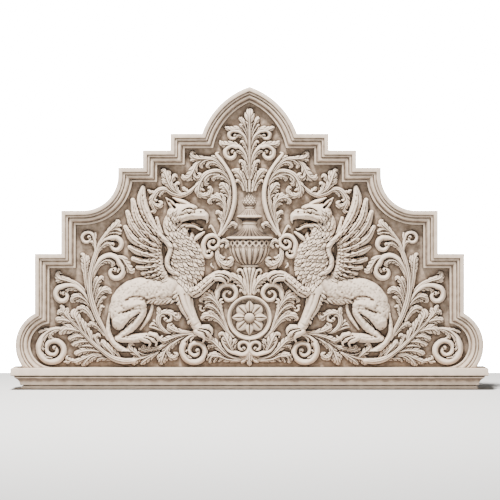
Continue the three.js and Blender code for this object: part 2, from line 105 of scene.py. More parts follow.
def smooth_line(points):
    """A Catmull-Rom line through [x, z, half width] points, as short even steps."""
    p = np.array(points, dtype=float)
    if len(p) < 3:
        count = max(2, int(np.hypot(*(p[-1] - p[0])[:2]) / LINE_STEP) + 1)
        return p[0] + np.linspace(0, 1, count)[:, None] * (p[-1] - p[0])
    ends = np.vstack([2 * p[0] - p[1], p, 2 * p[-1] - p[-2]])
    rows = []
    for i in range(len(p) - 1):
        a, b, c, d = ends[i:i + 4]
        count = max(2, int(np.hypot(*(c - b)[:2]) / LINE_STEP))
        t = np.linspace(0, 1, count, endpoint=False)[:, None]
        bend = (2 * a - 5 * b + 4 * c - d) * t ** 2
        twist = (3 * b - a - 3 * c + d) * t ** 3
        rows.append(0.5 * (2 * b + (c - a) * t + bend + twist))
    rows.append(p[-1:])
    line = np.vstack(rows)
    line[:, 2] = np.maximum(line[:, 2], 0.35)
    return line


class Relief:
    """A sheet of heights over the ground, in squares, that strokes and masses are carved from."""

    def __init__(self, left, low, right, high, step):
        self.step = step
        self.x = np.arange(left, right + step, step)
        self.z = np.arange(low, high + step, step)
        self.h = np.full((len(self.z), len(self.x)), FLOOR)

    def window(self, left, low, right, high):
        """The rows and columns of the sheet that lie between the given limits."""
        i0, i1 = np.searchsorted(self.x, [left, right])
        j0, j1 = np.searchsorted(self.z, [low, high])
        return slice(j0, j1), slice(i0, i1)

    def along(self, points, margin=2.2):
        """Where each point of the sheet lies against a line: distance over half width, half width, side,
        run."""
        line = smooth_line(points)
        run = np.concatenate([[0], np.cumsum(np.hypot(*np.diff(line[:, :2], axis=0).T))])
        bounds = (line[:, 0] - line[:, 2]).min() - margin - 1, (line[:, 1] - line[:, 2]).min() - margin - 1
        tops = (line[:, 0] + line[:, 2]).max() + margin + 1, (line[:, 1] + line[:, 2]).max() + margin + 1
        box = self.window(*bounds, *tops)
        gx, gz = self.x[box[1]], self.z[box[0]]
        best = np.full((len(gz), len(gx)), 1e3)
        width = np.ones_like(best)
        side = np.zeros_like(best)
        along = np.zeros_like(best)
        for k in range(len(line) - 1):
            (x0, z0, w0), (x1, z1, w1) = line[k], line[k + 1]
            reach = max(w0, w1) + margin
            i0, i1 = np.searchsorted(gx, [min(x0, x1) - reach, max(x0, x1) + reach])
            j0, j1 = np.searchsorted(gz, [min(z0, z1) - reach, max(z0, z1) + reach])
            if i0 == i1 or j0 == j1:
                continue
            px = gx[None, i0:i1] - x0
            pz = gz[j0:j1, None] - z0
            dx, dz = x1 - x0, z1 - z0
            length2 = dx * dx + dz * dz + 1e-9
            t = np.clip((px * dx + pz * dz) / length2, 0, 1)
            w = w0 + (w1 - w0) * t
            d = np.hypot(px - t * dx, pz - t * dz)
            u = np.where(d < w, d / w, 1 + (d - w))
            cut = (slice(j0, j1), slice(i0, i1))
            nearer = u < best[cut]
            best[cut] = np.where(nearer, u, best[cut])
            width[cut] = np.where(nearer, w, width[cut])
            side[cut] = np.where(nearer, np.sign(px * dz - pz * dx), side[cut])
            along[cut] = np.where(nearer, run[k] + t * np.sqrt(length2), along[cut])
        return box, best, width, side, along, run[-1]

    def stroke(self, points, lift, rise, section, blend=0.0):
        """Adds a ridge along the points. rise(w) is its height, section(u) its shape from crest to edge."""
        box, best, width, _, _, _ = self.along(points)
        up = lift + rise(width) * section(np.minimum(best, 1)) - np.maximum(best - 1, 0) * FALL
        self.add(box, up, blend)

    def blade(self, points, lift):
        """Adds an acanthus leaf along the points: smooth at its stem, with lobes that lean forward near its
        tip, a raised midrib between two grooves, and a fold that runs in from each notch."""
        box, best, width, side, run, length = self.along(points, 4.5)
        off = np.where(best < 1, best * width, width + best - 1)
        widest = max(p[2] for p in points)
        lobes = max(2, round(length / (2.4 + 0.85 * widest)))
        phase = (run - 1.2 * off) / (length / lobes) + 0.45 + 0.08 * side
        across = np.abs((phase % 1) - 0.5) * 2
        leafy = min(0.8 * length, 22)
        start = np.clip((run - length + leafy) / (0.35 * leafy), 0, 1)
        strength = start * np.clip(1.3 - run / length, 0.45, 1)
        notch = (LEAF_SPREAD - 0.66) * strength * across ** 4.4
        edge = width * (1 + (LEAF_SPREAD - 1) * strength - notch)
        inner = np.clip(off / width, 0, 1.3)
        fold = strength * across ** 6 * np.clip(inner * 2 - 0.4, 0, 1)
        cup = 0.3 * np.exp(-((inner - 0.6) / 0.3) ** 2) * (1 - across ** 2) * strength
        veins = np.exp(-((inner - 0.3) / 0.11) ** 2) * np.clip(width - 1, 0, 1) * 1.05
        rounded_edge = np.sqrt(np.clip(1 - np.clip(off / edge, 0, 1) ** 2.2, 0, 1))
        body = (1.9 + 1.3 * width) * rounded_edge * (1 - 0.95 * fold - cup)
        up = lift + body - veins * np.clip(run / 3, 0, 1)
        self.add(box, up - np.maximum(off - edge, 0) * FALL, 0)
        self.eye_of_curl(points)

    def eye_of_curl(self, points):
        """Drills the eye that a tip winds round, where the line turns through more than a quarter at its
        end."""
        line = smooth_line(points)[:, :2]
        steps = np.diff(line, axis=0)
        heading = np.unwrap(np.arctan2(steps[:, 1], steps[:, 0]))
        last = min(len(heading), 10)
        turn = heading[-1] - heading[-last]
        if abs(turn) < 1.4:
            return
        middle = len(line) - 1 - last // 2
        radius = np.hypot(*steps[-last:].T).sum() / abs(turn)
        inward = heading[middle - 1] + np.sign(turn) * np.pi / 2
        x, z = line[middle] + radius * np.array([np.cos(inward), np.sin(inward)])
        self.drill(x, z, 1.0, 2.6)

    def spiral(self, points, lift, section):
        """Adds a scroll band: a round ridge with a groove inside each edge, ending in a button."""
        box, best, width, _, _, _ = self.along(points)
        inside = np.minimum(best, 1)
        groove = 0.45 * np.exp(-((inside - 0.62) / 0.13) ** 2) * np.clip(width - 1.2, 0, 1)
        up = lift + (1.6 + 1.6 * width) * section(inside) - groove
        self.add(box, up - np.maximum(best - 1, 0) * FALL, 0)
        x, z, w = points[-1]
        self.dome(x, z, w * 1.45, w * 1.45, 2.4 + 1.7 * w, lift=lift)
        before = np.array(points[-3][:2])
        self.drill(*(before + 0.42 * (np.array([x, z]) - before)), 0.9, 2.2)

    def overlay(self, points, rise):
        """Lays a small feather over the surface that is there: raised at its tip, with a shadow line round
        it."""
        box, best, width, _, run, length = self.along(points)
        inside = np.minimum(best, 1)
        tip = np.clip(run / length, 0, 1)
        swell = rise * (0.1 + 0.9 * tip) * np.sqrt(np.clip(1 - inside ** 3, 0, 1))
        shaft = 0.3 * np.exp(-(inside / 0.16) ** 2)
        rim = 0.95 * np.exp(-((best - 1.16) / 0.16) ** 2) * tip
        off = best * width < width + 1.2
        self.h[box] += np.where(off & (self.h[box] > 0.5), np.where(best < 1, swell - shaft, -rim), 0)

    def add(self, box, up, blend):
        old = self.h[box]
        if blend > 0:
            near = np.clip(1 - np.abs(old - up) / blend, 0, 1)
            lifted = np.maximum(old, up) + 0.25 * blend * near ** 2
            self.h[box] = np.where((old > -0.5) & (up > -0.5), lifted, np.maximum(old, up))
        else:
            self.h[box] = np.maximum(old, up)

    def drill(self, x, z, radius, depth=2.6):
        box = self.window(x - radius - 1, z - radius - 1, x + radius + 1, z + radius + 1)
        d = np.hypot(self.x[box[1]][None, :] - x, self.z[box[0]][:, None] - z)
        pit = np.clip(1 - (d / radius) ** 2, 0, 1) ** 0.5
        self.h[box] = self.h[box] - depth * pit

    def groove(self, points, half, depth):
        """Cuts a round groove along [x, z] points, never below the ground."""
        line = [[x, z, half] for x, z in points]
        box, best, _, _, _, _ = self.along(line)
        cut = self.h[box] - depth * np.clip(1 - best ** 2, 0, 1)
        self.h[box] = np.where(self.h[box] > 0.4, np.maximum(cut, 0.4), self.h[box])

    def dome(self, x, z, rx, rz, height, lift):
        """Adds a round or oval button that stands on a given lift."""
        reach = max(rx, rz) + 2
        box = self.window(x - reach, z - reach, x + reach, z + reach)
        px, pz = self.x[box[1]][None, :] - x, self.z[box[0]][:, None] - z
        r = np.hypot(px / rx, pz / rz)
        up = lift + height * np.sqrt(np.clip(1 - r * r, 0, 1)) - np.maximum(r - 1, 0) * FALL * min(rx, rz)
        self.add(box, up, 0)


def rounded(u):
    """A half-round ridge."""
    return np.sqrt(np.clip(1 - u ** 2, 0, 1))


def feather(u):
    """A feather with a thin shaft along its middle and a blade that falls to its edges."""
    blade = 0.62 * np.sqrt(np.clip(1 - u ** 3, 0, 1)) + 0.23 * (1 - u)
    return blade + 0.15 * np.exp(-(u / 0.14) ** 2) - 0.1 * np.exp(-((u - 0.3) / 0.12) ** 2)


def full(u):
    """The swell of a body."""
    return np.clip(1 - u ** 2, 0, 1) ** 0.56


# The drawing, in squares, as [x, z, half width] points. Each function is given the same strokes:
# rib(lift, points) is a leaf or a stem, volute(lift, lead, centre, radii, angles, half widths) a band that
# follows its lead points and winds to an eye, ridge(lift, points) a plain ridge, and drill(x, z, radius) an eye.


def lower_scroll(rib, volute, ridge, drill):
    # drop leaf and eye below the rosette, on the centre line
    volute(0, [[27, 50, 1.6], [25, 44, 2.2], [20, 38.2, 2.6]], [6.8, 42.3], [8.2, 1.8], [-62, -490],
        [2.6, 1.3])
    rib(0.3, [17, 38, 2.0], [20, 44, 3.0], [23, 50.5, 3.4], [26, 55, 2.0], [29.3, 54.6, 1.5],
        [29.2, 52.4, 1.0])
    rib(0.2, [18, 41, 1.6], [16, 46, 2.0], [14, 49.2, 1.6])
    rib(0, [17, 38.5, 1.4], [15, 42, 1.6], [13.5, 44.5, 1.2])
    rib(0.2, [19, 44, 1.6], [21.5, 50, 1.8], [21.5, 54, 1.4])
    # stems that run out from the centre to the paw
    rib(0, [2, 36.5, 1.2], [7, 32.2, 1.9], [15, 31.4, 2.1], [23, 34.8, 2.4], [30, 41.5, 2.8],
        [36, 47.5, 2.8], [44, 52.5, 2.4])
    rib(0.2, [22, 36, 1.4], [29, 42.5, 1.6], [35, 44.3, 1.8], [40, 43.3, 1.7], [41, 41.2, 1.1])
    rib(0, [4, 33, 1.4], [11, 29.4, 2.0], [22, 30, 2.2], [30, 33, 2.6], [37, 33.5, 2.8])
    rib(0.2, [24, 31, 1.5], [28.5, 30.6, 1.5], [30.5, 28.6, 1.3])
    rib(0.3, [28, 33, 1.6], [33, 31.5, 1.8], [35.3, 28.3, 1.5])
    rib(0.3, [33, 34, 2.0], [38, 32, 2.0], [39.5, 27.8, 1.7])
    rib(0.3, [34, 35, 1.8], [39.5, 34, 1.8], [42.2, 30.4, 1.5])
    rib(0.2, [28, 34, 1.4], [34, 36.2, 1.4], [37, 36.2, 0.9])
    # great volute in the middle of each side
    volute(0, [[52, 54.6, 1.4], [59, 53.2, 2.0], [65.3, 48, 2.6]], [54, 38.4], [13.5, 2.3], [30, -560],
        [3.2, 1.5])
    rib(0.3, [55.5, 53.2, 1.2], [58.5, 50, 1.3], [58.6, 47.4, 0.9])
    rib(0.3, [60, 52, 1.3], [63.6, 47.5, 1.5], [62.8, 43.4, 1.2])
    rib(0.5, [66.8, 47, 1.3], [66.6, 41.3, 1.6], [64.2, 38, 1.5], [62.2, 39, 1.0])
    rib(0.5, [68, 38, 1.2], [64.2, 33.3, 1.6], [59, 31.6, 1.3])
    # sprays that spread from the paw along the bed
    rib(0.2, [56, 57.4, 1.2], [65, 57, 1.9], [73, 58, 2.5], [79, 61, 2.6], [80, 64, 1.7], [78, 65.6, 1.1])
    rib(0.4, [70, 58, 1.2], [74.5, 60.5, 1.3], [76.3, 63.6, 1.0])
    rib(0.3, [56, 55.4, 1.4], [67, 54.6, 2.2], [77, 51.6, 2.4], [84.5, 48.6, 2.6], [88.4, 50.4, 1.8],
        [87.2, 52.6, 1.1])
    rib(0.2, [66, 54, 1.4], [78, 48, 1.8], [89, 42, 2.0], [98, 39.6, 2.0], [104.5, 40.5, 2.6],
        [105.6, 43.2, 1.4])
    rib(0.3, [99, 38.6, 1.6], [105, 38.4, 2.0], [109.3, 40.4, 1.6])
    rib(0.1, [62, 54, 1.6], [70, 50, 2.0], [76, 45.5, 1.9], [77.6, 41.6, 1.3])
    rib(0.2, [70, 51, 1.6], [78.5, 44.6, 2.2], [82.3, 38.4, 2.3], [80.3, 33.2, 2.3], [75.4, 31.6, 2.2],
        [72.8, 34.4, 1.7], [74.8, 36.4, 1.0])
    rib(0.2, [78, 46.5, 1.6], [84, 38.5, 2.4], [87, 31, 3.0], [88, 26.6, 2.0])
    rib(0.3, [83, 37, 1.6], [83.5, 31.5, 1.8], [84.8, 28, 1.3])
    rib(0.3, [85, 37.5, 1.6], [90, 33.5, 1.6], [91, 30.5, 1.2])
    # curl between the forelegs and the haunch
    rib(0, [76, 56, 1.1], [85, 58.4, 2.0], [90.4, 64.5, 2.4], [90.8, 71, 2.4], [88, 75.6, 2.2],
        [82, 77.4, 2.2], [76.4, 74.6, 2.6], [71.8, 72, 2.6], [70.4, 75.4, 1.6])
    volute(0.2, [[86, 76.2, 1.6]], [82, 71.3], [5.2, 2.2], [95, 330], [1.9, 1.3])
    rib(0.3, [89, 72.5, 1.3], [86.6, 74.2, 1.3], [84.8, 73.2, 0.9])
    rib(0.2, [91, 70, 1.7], [90, 77, 2.0], [91.2, 81.3, 1.3])
    rib(0.1, [91, 65, 1.2], [95.5, 68.6, 1.0])
    rib(0.1, [90.5, 62, 1.3], [95.5, 65, 1.5], [98.8, 64.2, 0.9])
    rib(0, [88, 59, 1.3], [95, 61.6, 1.3], [99.5, 62.4, 0.8])
    # calyx and fan under the hind paw
    rib(0, [90, 38, 1.2], [98, 34.6, 2.2], [107, 31.4, 2.6], [114, 30.4, 2.4])
    rib(0.3, [92, 36.5, 1.6], [100, 32, 2.4], [105, 28.4, 2.3], [107.6, 26, 1.5])
    rib(0.4, [107, 31.5, 1.8], [112, 30, 2.4], [115.2, 26, 1.8])
    rib(0.4, [109, 32, 1.8], [114.5, 37, 2.6], [119.4, 41.4, 2.3], [118.4, 45, 1.6], [116.2, 44.2, 1.0])
    rib(0.2, [100, 34, 1.4], [107, 35.4, 1.8], [110.8, 37.2, 1.2])


def outer_fronds(rib, volute, ridge, drill):
    # stem of the great leaf, rising from the bed to the corner of the frame
    for t in [[[180, 70, 2.2], [183.4, 75, 2.8], [182.6, 79.4, 1.8]],
              [[168, 60, 2.4], [171.6, 68, 3.2], [174.6, 75, 3.4], [173, 78.6, 1.4]],
              [[163, 55, 2.2], [165.6, 62.6, 2.8], [168.6, 69, 1.8]],
              [[157, 48, 2.0], [160, 55, 2.5], [162.6, 61.6, 1.6]],
              [[182, 75, 2.2], [187.6, 77.6, 2.4], [191, 76, 1.4]],
              [[177, 67, 2.4], [184, 69.6, 3.2], [191, 69.6, 2.2]],
              [[169, 58, 2.4], [176, 60, 3.4], [183.6, 60.6, 3.6], [188.4, 57, 2.2]],
              [[165, 52.6, 2.0], [172, 53.2, 3.0], [178.4, 51, 2.2]],
              [[160, 47.6, 2.0], [168, 47.8, 2.8], [175.6, 45, 2.0]],
              [[154, 42.4, 1.8], [162, 43.8, 2.4], [169.6, 43.2, 1.4]]]:
        rib(0.2, *t)
    rib(0.7, [115, 28.6, 2.8], [126, 28.4, 3.2], [136, 31.2, 2.8], [146, 37.8, 2.2], [157, 47, 1.9],
        [168, 58.4, 1.8], [178, 68.6, 1.8], [185, 77, 1.9], [187.4, 83, 1.6])
    # lower spray of the great leaf
    rib(0.1, [142, 34.6, 1.4], [154, 38.6, 2.4], [165, 38.6, 2.8], [172.4, 35.8, 2.2])
    rib(0.2, [146, 34.8, 1.4], [156, 35.2, 2.2], [164, 31.4, 2.6], [172, 27.6, 2.4])
    rib(0.1, [170, 29, 1.6], [177, 28.6, 1.7], [182.4, 31, 1.5], [180.6, 33, 1.0])
    rib(0.3, [148, 34.4, 1.4], [156.6, 33.6, 2.2], [162, 29.6, 2.6], [165, 25.4, 2.2])
    rib(0.2, [144, 33.6, 1.3], [152, 33, 1.8], [157.4, 30.6, 2.0], [159.6, 27.8, 1.4])
    rib(0.1, [134, 29.4, 1.4], [143, 31, 1.8], [149.6, 30.8, 1.8], [152, 28.4, 1.1])
    rib(0.2, [176, 29.6, 1.2], [181, 27.6, 1.4], [184.8, 27.6, 1.0])
    # short leaves on the inner side of the stem
    rib(0.3, [134, 31, 1.8], [138, 37, 2.6], [143, 42.6, 2.8], [146.6, 47, 2.0])
    rib(0.2, [128, 30, 1.3], [133, 35.6, 1.8], [139.6, 42, 1.8], [140.6, 45, 1.0])
    rib(0.2, [145, 39, 1.6], [151.6, 46, 2.0], [154, 51.6, 1.9], [151, 54.4, 1.5], [149.4, 52.8, 0.9])
    # tall frond beside the tail
    rib(0.2, [141, 50, 1.6], [146, 60, 2.2], [152, 72, 2.6], [156.6, 85, 3.2], [159.4, 98, 3.0],
        [159.4, 110, 2.7], [156.6, 124, 2.4], [152.4, 138, 2.0], [148, 148, 1.8], [141, 157, 1.9],
        [134, 163.6, 2.6], [131.4, 167.2, 1.8], [132.8, 168.6, 1.0])
    rib(0.4, [139, 158.6, 1.5], [133, 160, 1.8], [128.8, 158, 1.2])
    rib(0.4, [136, 161, 1.4], [131, 163.6, 1.5], [128.6, 163.6, 0.9])
    rib(0.3, [141, 156, 1.2], [134, 156.6, 1.6], [129, 155.6, 1.1])
    rib(0.1, [150, 74, 1.3], [157, 96, 1.4], [156.4, 112, 1.6], [151, 124, 1.7], [145.6, 131.4, 1.6],
        [143, 134.6, 0.8])
    rib(0, [160, 90, 2.0], [162.6, 106, 2.5], [164, 120, 2.8], [164.6, 129, 3.0], [167, 134.4, 1.6],
        [167.6, 133, 0.9])
    rib(0.2, [161.4, 118, 1.4], [161.4, 127, 1.6], [161.2, 132.6, 1.0])
    rib(0.2, [165, 116, 1.2], [166.8, 121, 1.2], [167, 123.6, 0.8])
    rib(0.2, [165, 123, 1.2], [166.8, 128, 1.2], [167, 130, 0.8])
    # volute that fills the upper corner
    volute(0, [[153.6, 135, 1.3], [154, 144, 1.5], [155.4, 151.4, 1.7]], [162.2, 150.8], [6.6, 2.5],
        [150, -215], [1.9, 1.3])
    rib(0.2, [154, 140, 1.1], [155.6, 146.2, 1.4], [158.4, 147.6, 1.2])
    rib(0.1, [154.4, 148, 1.0], [153.8, 152.6, 1.1], [154, 156.2, 0.9])
    # curl towards the wing
    volute(0, [[154, 136, 1.2], [150, 144, 1.7], [144, 149.6, 2.1]], [134.2, 144], [7.6, 2.8], [88, 385],
        [2.7, 1.5])
    rib(0.2, [152.6, 134.6, 1.2], [148.4, 141.6, 1.7], [142.4, 146, 2.0], [138.6, 144.4, 1.8],
        [138.8, 142.6, 1.1])
    # long curl below it
    volute(0, [[158, 112, 1.8], [154.6, 121, 2.2], [148, 130, 2.6], [140, 133.4, 2.8], [133, 131, 3.0]],
        [134.6, 117.4], [9.4, 2.3], [128, 450], [3.0, 1.5])
    rib(0.1, [134, 132, 2.2], [127, 130.4, 2.8], [122.4, 124, 2.8], [118.6, 118.6, 2.6],
        [115.8, 119.4, 1.4])
    rib(0.3, [155, 115, 1.4], [151.6, 122.6, 1.9], [145.4, 128.2, 2.2], [139.6, 128.6, 2.2],
        [136.4, 125.6, 1.8], [137.2, 123.2, 1.1])
    rib(0.4, [128.6, 127, 1.4], [128.8, 121, 1.7], [131.4, 118, 1.2])
    # leaves on the inner side of the tall frond
    rib(0.3, [156, 92, 1.6], [154.4, 101, 2.2], [151.6, 107.6, 2.3], [147.8, 111.2, 1.7],
        [146.4, 109.2, 1.0])
    rib(0.4, [156.6, 99, 1.4], [155.4, 106, 1.6], [152.4, 111.4, 1.3])
    rib(0.2, [155.6, 82, 1.6], [152.4, 92, 2.3], [147.6, 98.4, 2.7], [142, 99.6, 2.2], [139.2, 96.6, 1.3])
    rib(0.3, [155, 88, 1.3], [153.4, 96, 1.5], [151.4, 101.6, 1.1])
    rib(0.2, [154, 78, 1.3], [150.4, 86, 1.6], [146.6, 91.6, 1.6], [144, 91.8, 1.0])
    rib(0.1, [151.4, 70, 1.2], [150, 77, 1.4], [148, 82.6, 1.4], [145.6, 82.4, 0.9])
    # scroll and leaf on the outer side
    rib(0, [160, 88, 1.7], [165, 97.6, 2.0], [173, 105, 2.2], [182, 108.6, 2.4], [189, 110.6, 2.8],
        [192, 113.4, 2.0], [190.6, 116.6, 1.5], [188.4, 115.6, 0.9])
    rib(0.3, [181, 109, 1.2], [184, 111, 1.3], [185, 112.4, 0.9])
    rib(0.3, [186, 109.4, 1.6], [190.4, 108.6, 1.6], [192.8, 108.4, 1.0])
    rib(0.3, [176, 107, 1.1], [180.4, 110.2, 1.1], [182.4, 111.4, 0.8])
    volute(0, [[160.6, 88, 2.0], [166, 96.8, 2.4], [174, 103, 2.8], [182, 103.8, 3.0]], [186.2, 93.8],
        [8.2, 2.6], [66, -260], [3.0, 1.6])
    rib(0.3, [164.6, 93.6, 1.3], [171, 99.6, 1.9], [178, 101.2, 2.0], [182.2, 99.6, 1.9],
        [181.8, 97.6, 1.2])
    rib(0.4, [189, 99, 1.4], [188.4, 96.6, 1.3], [186.4, 96.4, 0.9])
    rib(0.1, [158, 81, 1.8], [163.6, 89, 2.6], [170, 93, 3.0], [175.6, 91.6, 2.4], [177, 88.4, 1.5],
        [175, 87.4, 0.9])
    rib(0.3, [166, 92, 1.4], [169.6, 95, 1.5], [172.4, 95.6, 1.0])
    rib(0.3, [163, 86, 1.3], [168.6, 89.4, 1.7], [172.6, 88.6, 1.3])
    rib(0, [156, 68.6, 1.7], [160.4, 76.6, 2.4], [165.4, 81, 2.5], [170, 81, 1.9], [171.8, 79, 1.1])
    rib(0.3, [160, 75, 1.2], [166, 79, 1.3], [169.4, 77.4, 0.9])
    rib(0, [145, 54.6, 1.7], [151.6, 62.4, 2.1], [157, 65.4, 2.0], [160.6, 64, 1.6], [161.4, 61.6, 0.9])
    # corner volute in the ear of the frame
    volute(0, [[184, 60.6, 1.6], [192, 60.8, 1.7], [200, 58.6, 1.9], [206.6, 52.6, 2.3]], [196, 39.8],
        [14.4, 2.3], [22, -600], [3.3, 1.5])
    rib(0.3, [196, 60.4, 1.3], [203, 59.4, 1.6], [209.6, 57.6, 1.3])
    rib(0.3, [188, 59.4, 1.2], [194, 58.8, 1.7], [198.4, 55.8, 2.0], [198.8, 52.2, 1.7], [196.8, 51, 1.0])
    rib(0.5, [201.4, 55, 1.2], [206, 49.6, 1.8], [208, 43.6, 1.9], [206.2, 40, 1.5], [204.8, 41.2, 0.8])
    rib(0.5, [209.4, 37, 1.2], [204.4, 32.6, 1.6], [198, 31.6, 1.1])


def upper_fronds(rib, volute, ridge, drill):
    # long leaf that springs from the urn scroll to the foot of the gothic head
    ridge(0.4, [30.4, 153.6, 2.0], [23.4, 164, 2.5], [18.2, 175.4, 2.8], [15.2, 188, 2.9],
        [15.4, 201, 2.8], [18.8, 213, 2.6], [24.4, 223, 2.3], [29.6, 230, 2.4], [33, 235, 1.7],
        [31, 236.6, 0.9])
    rib(0.2, [31.4, 230, 1.2], [34.8, 231.8, 1.4], [37.4, 233, 0.9])
    rib(0.2, [29.6, 155, 1.4], [25.6, 166, 1.8], [22, 178, 2.0], [19.6, 190, 2.0], [19.2, 199, 1.6],
        [20.6, 207, 1.2])
    rib(0.4, [22.4, 170, 1.1], [23.6, 173, 1.1], [22.6, 175, 0.8])
    rib(0.4, [21, 180, 1.1], [22.6, 183.6, 1.1], [21.8, 186, 0.8])
    rib(0.3, [28.6, 158, 1.5], [26.6, 167, 1.7], [28, 174, 1.9], [31.4, 177, 1.6], [33, 175.6, 0.9])
    rib(0.3, [27, 165, 1.2], [29.6, 169.6, 1.1], [31, 170.6, 0.8])
    # leaf with the rolled tip before the beak
    rib(0.3, [25.6, 170, 1.8], [24.4, 180, 2.1], [26.6, 187.4, 2.4], [32, 191.4, 2.6], [37.6, 190.8, 2.2],
        [39.8, 187.6, 1.8], [38, 186, 1.0])
    rib(0.4, [25.6, 184, 1.4], [25.6, 190, 1.6], [28.4, 195, 1.3])
    rib(0.4, [27.4, 187, 1.5], [29.6, 192, 1.6], [32.4, 195.6, 1.2])
    rib(0.3, [25.6, 181, 1.3], [29, 185.4, 1.5], [32, 185.4, 1.0])
    # toothed leaf above it
    rib(0.3, [19.4, 188, 1.7], [20.6, 196, 2.4], [23.8, 201.4, 2.8], [27, 204.6, 1.8], [29.4, 204, 1.0])
    rib(0.4, [21, 195, 1.5], [25.4, 198, 1.6], [28, 198.4, 1.0])
    rib(0.4, [22.6, 199, 1.4], [27, 201.6, 1.3], [29.6, 201.6, 0.8])
    rib(0.4, [20, 191, 1.2], [23.4, 194, 1.2], [25.4, 194.2, 0.8])
    # first curl
    rib(0.1, [17.4, 203, 1.6], [22.4, 212, 2.2], [29, 217.2, 2.3], [37, 217.4, 2.4], [44.4, 213.6, 2.6],
        [49.4, 206, 2.9], [51.2, 198.4, 2.7], [49.4, 192.4, 1.6])
    rib(0.3, [51, 197, 1.6], [46.6, 193.6, 2.4], [41, 194.4, 2.3], [38.8, 198, 1.9], [39.6, 201.4, 1.5],
        [41.6, 199.8, 0.9])
    rib(0.4, [49, 201, 1.4], [47, 199.4, 1.3], [45.6, 198.8, 0.8])
    rib(0.3, [30.6, 215, 1.4], [39, 214.2, 2.2], [44.2, 209.6, 2.5], [43.4, 205.4, 1.8], [41.4, 206, 1.0])
    rib(0.3, [18.6, 204, 1.3], [24.6, 211, 2.0], [31, 213, 2.1], [35.8, 211.4, 1.8], [36, 209, 1.1])
    # second curl
    rib(0.1, [21.6, 215, 1.6], [28, 223.4, 2.0], [35.6, 229, 2.3], [44, 230.2, 2.2], [52, 230.6, 2.5],
        [57, 233, 2.1], [57.2, 236.4, 1.5], [54.6, 235.8, 0.9])
    rib(0.3, [51, 230, 1.6], [56, 229.4, 1.6], [58.4, 228.6, 0.9])
    rib(0.2, [44, 230.4, 1.2], [47.4, 232.2, 1.2], [49, 233, 0.7])
    rib(0.3, [25, 217, 1.3], [31.6, 224.8, 1.8], [38, 226.8, 2.0], [41.6, 224, 1.8], [40.4, 221.6, 1.0])
    rib(0.3, [36, 229, 1.3], [43.6, 228.6, 1.8], [48.4, 225, 1.8], [47.6, 221.6, 1.1])
    rib(0.2, [46, 230, 1.6], [53, 224.6, 2.4], [57, 216.6, 3.2], [61, 211.6, 2.6], [65.6, 211.4, 1.9],
        [66.6, 213.8, 1.0])
    rib(0.4, [55.6, 219, 1.8], [55, 213, 2.3], [51, 211.2, 2.0], [49.4, 213.8, 1.7], [51.4, 215.6, 0.9])
    rib(0.4, [58, 215, 1.3], [58.2, 211.4, 1.2], [57.6, 209.2, 0.9])
    rib(0.4, [55, 220, 1.2], [53.6, 217.6, 1.2], [53, 216.4, 0.7])
    # runner over the griffin's head
    rib(0, [49.6, 208.6, 0.9], [54, 202.6, 1.5], [61, 196.6, 2.1], [69, 193.8, 2.4], [77, 196, 2.3],
        [84, 199.8, 2.2], [90.6, 198.6, 2.4], [95.6, 193, 2.6], [97.4, 186.6, 2.3], [95.2, 181, 1.9],
        [95.4, 177.8, 1.6], [98, 177.4, 0.9])
    rib(0.3, [68, 194.6, 1.6], [72.4, 198.6, 2.0], [74, 203, 1.9], [71.6, 205.6, 1.5], [70.6, 203.8, 0.9])
    rib(0.3, [70, 195, 1.8], [77, 200, 2.6], [81, 207, 3.2], [83.4, 214, 3.0], [85.6, 218.4, 2.0],
        [87.6, 216.8, 1.2])
    rib(0.4, [79.6, 203, 1.6], [77, 210, 2.0], [74.4, 213.4, 1.6], [72.8, 211.8, 1.0])
    rib(0.3, [81, 210, 1.5], [80, 215.6, 1.4], [80.4, 218, 0.9])
    rib(0.4, [80, 203.6, 1.6], [84.6, 206.6, 1.7], [86.6, 209.4, 1.1])
    rib(0.4, [82.4, 209, 1.5], [85.6, 211.6, 1.4], [87, 214, 0.9])
    rib(0.3, [82, 199, 1.2], [87.4, 197, 1.5], [89.6, 193.6, 1.2])
    rib(0.3, [91, 198, 1.4], [97.4, 196.6, 1.6], [101, 198.8, 1.1])
    rib(0.4, [97, 188.6, 1.6], [94.4, 184, 2.0], [90.2, 182.8, 1.9], [88, 185.6, 1.6], [89.8, 187.8, 1.0])
    rib(0.5, [96, 191, 1.2], [94, 189, 1.3], [92.4, 189, 0.8])
    rib(0.3, [61, 197, 1.2], [64.6, 199.6, 1.6], [66.4, 201.4, 1.0])
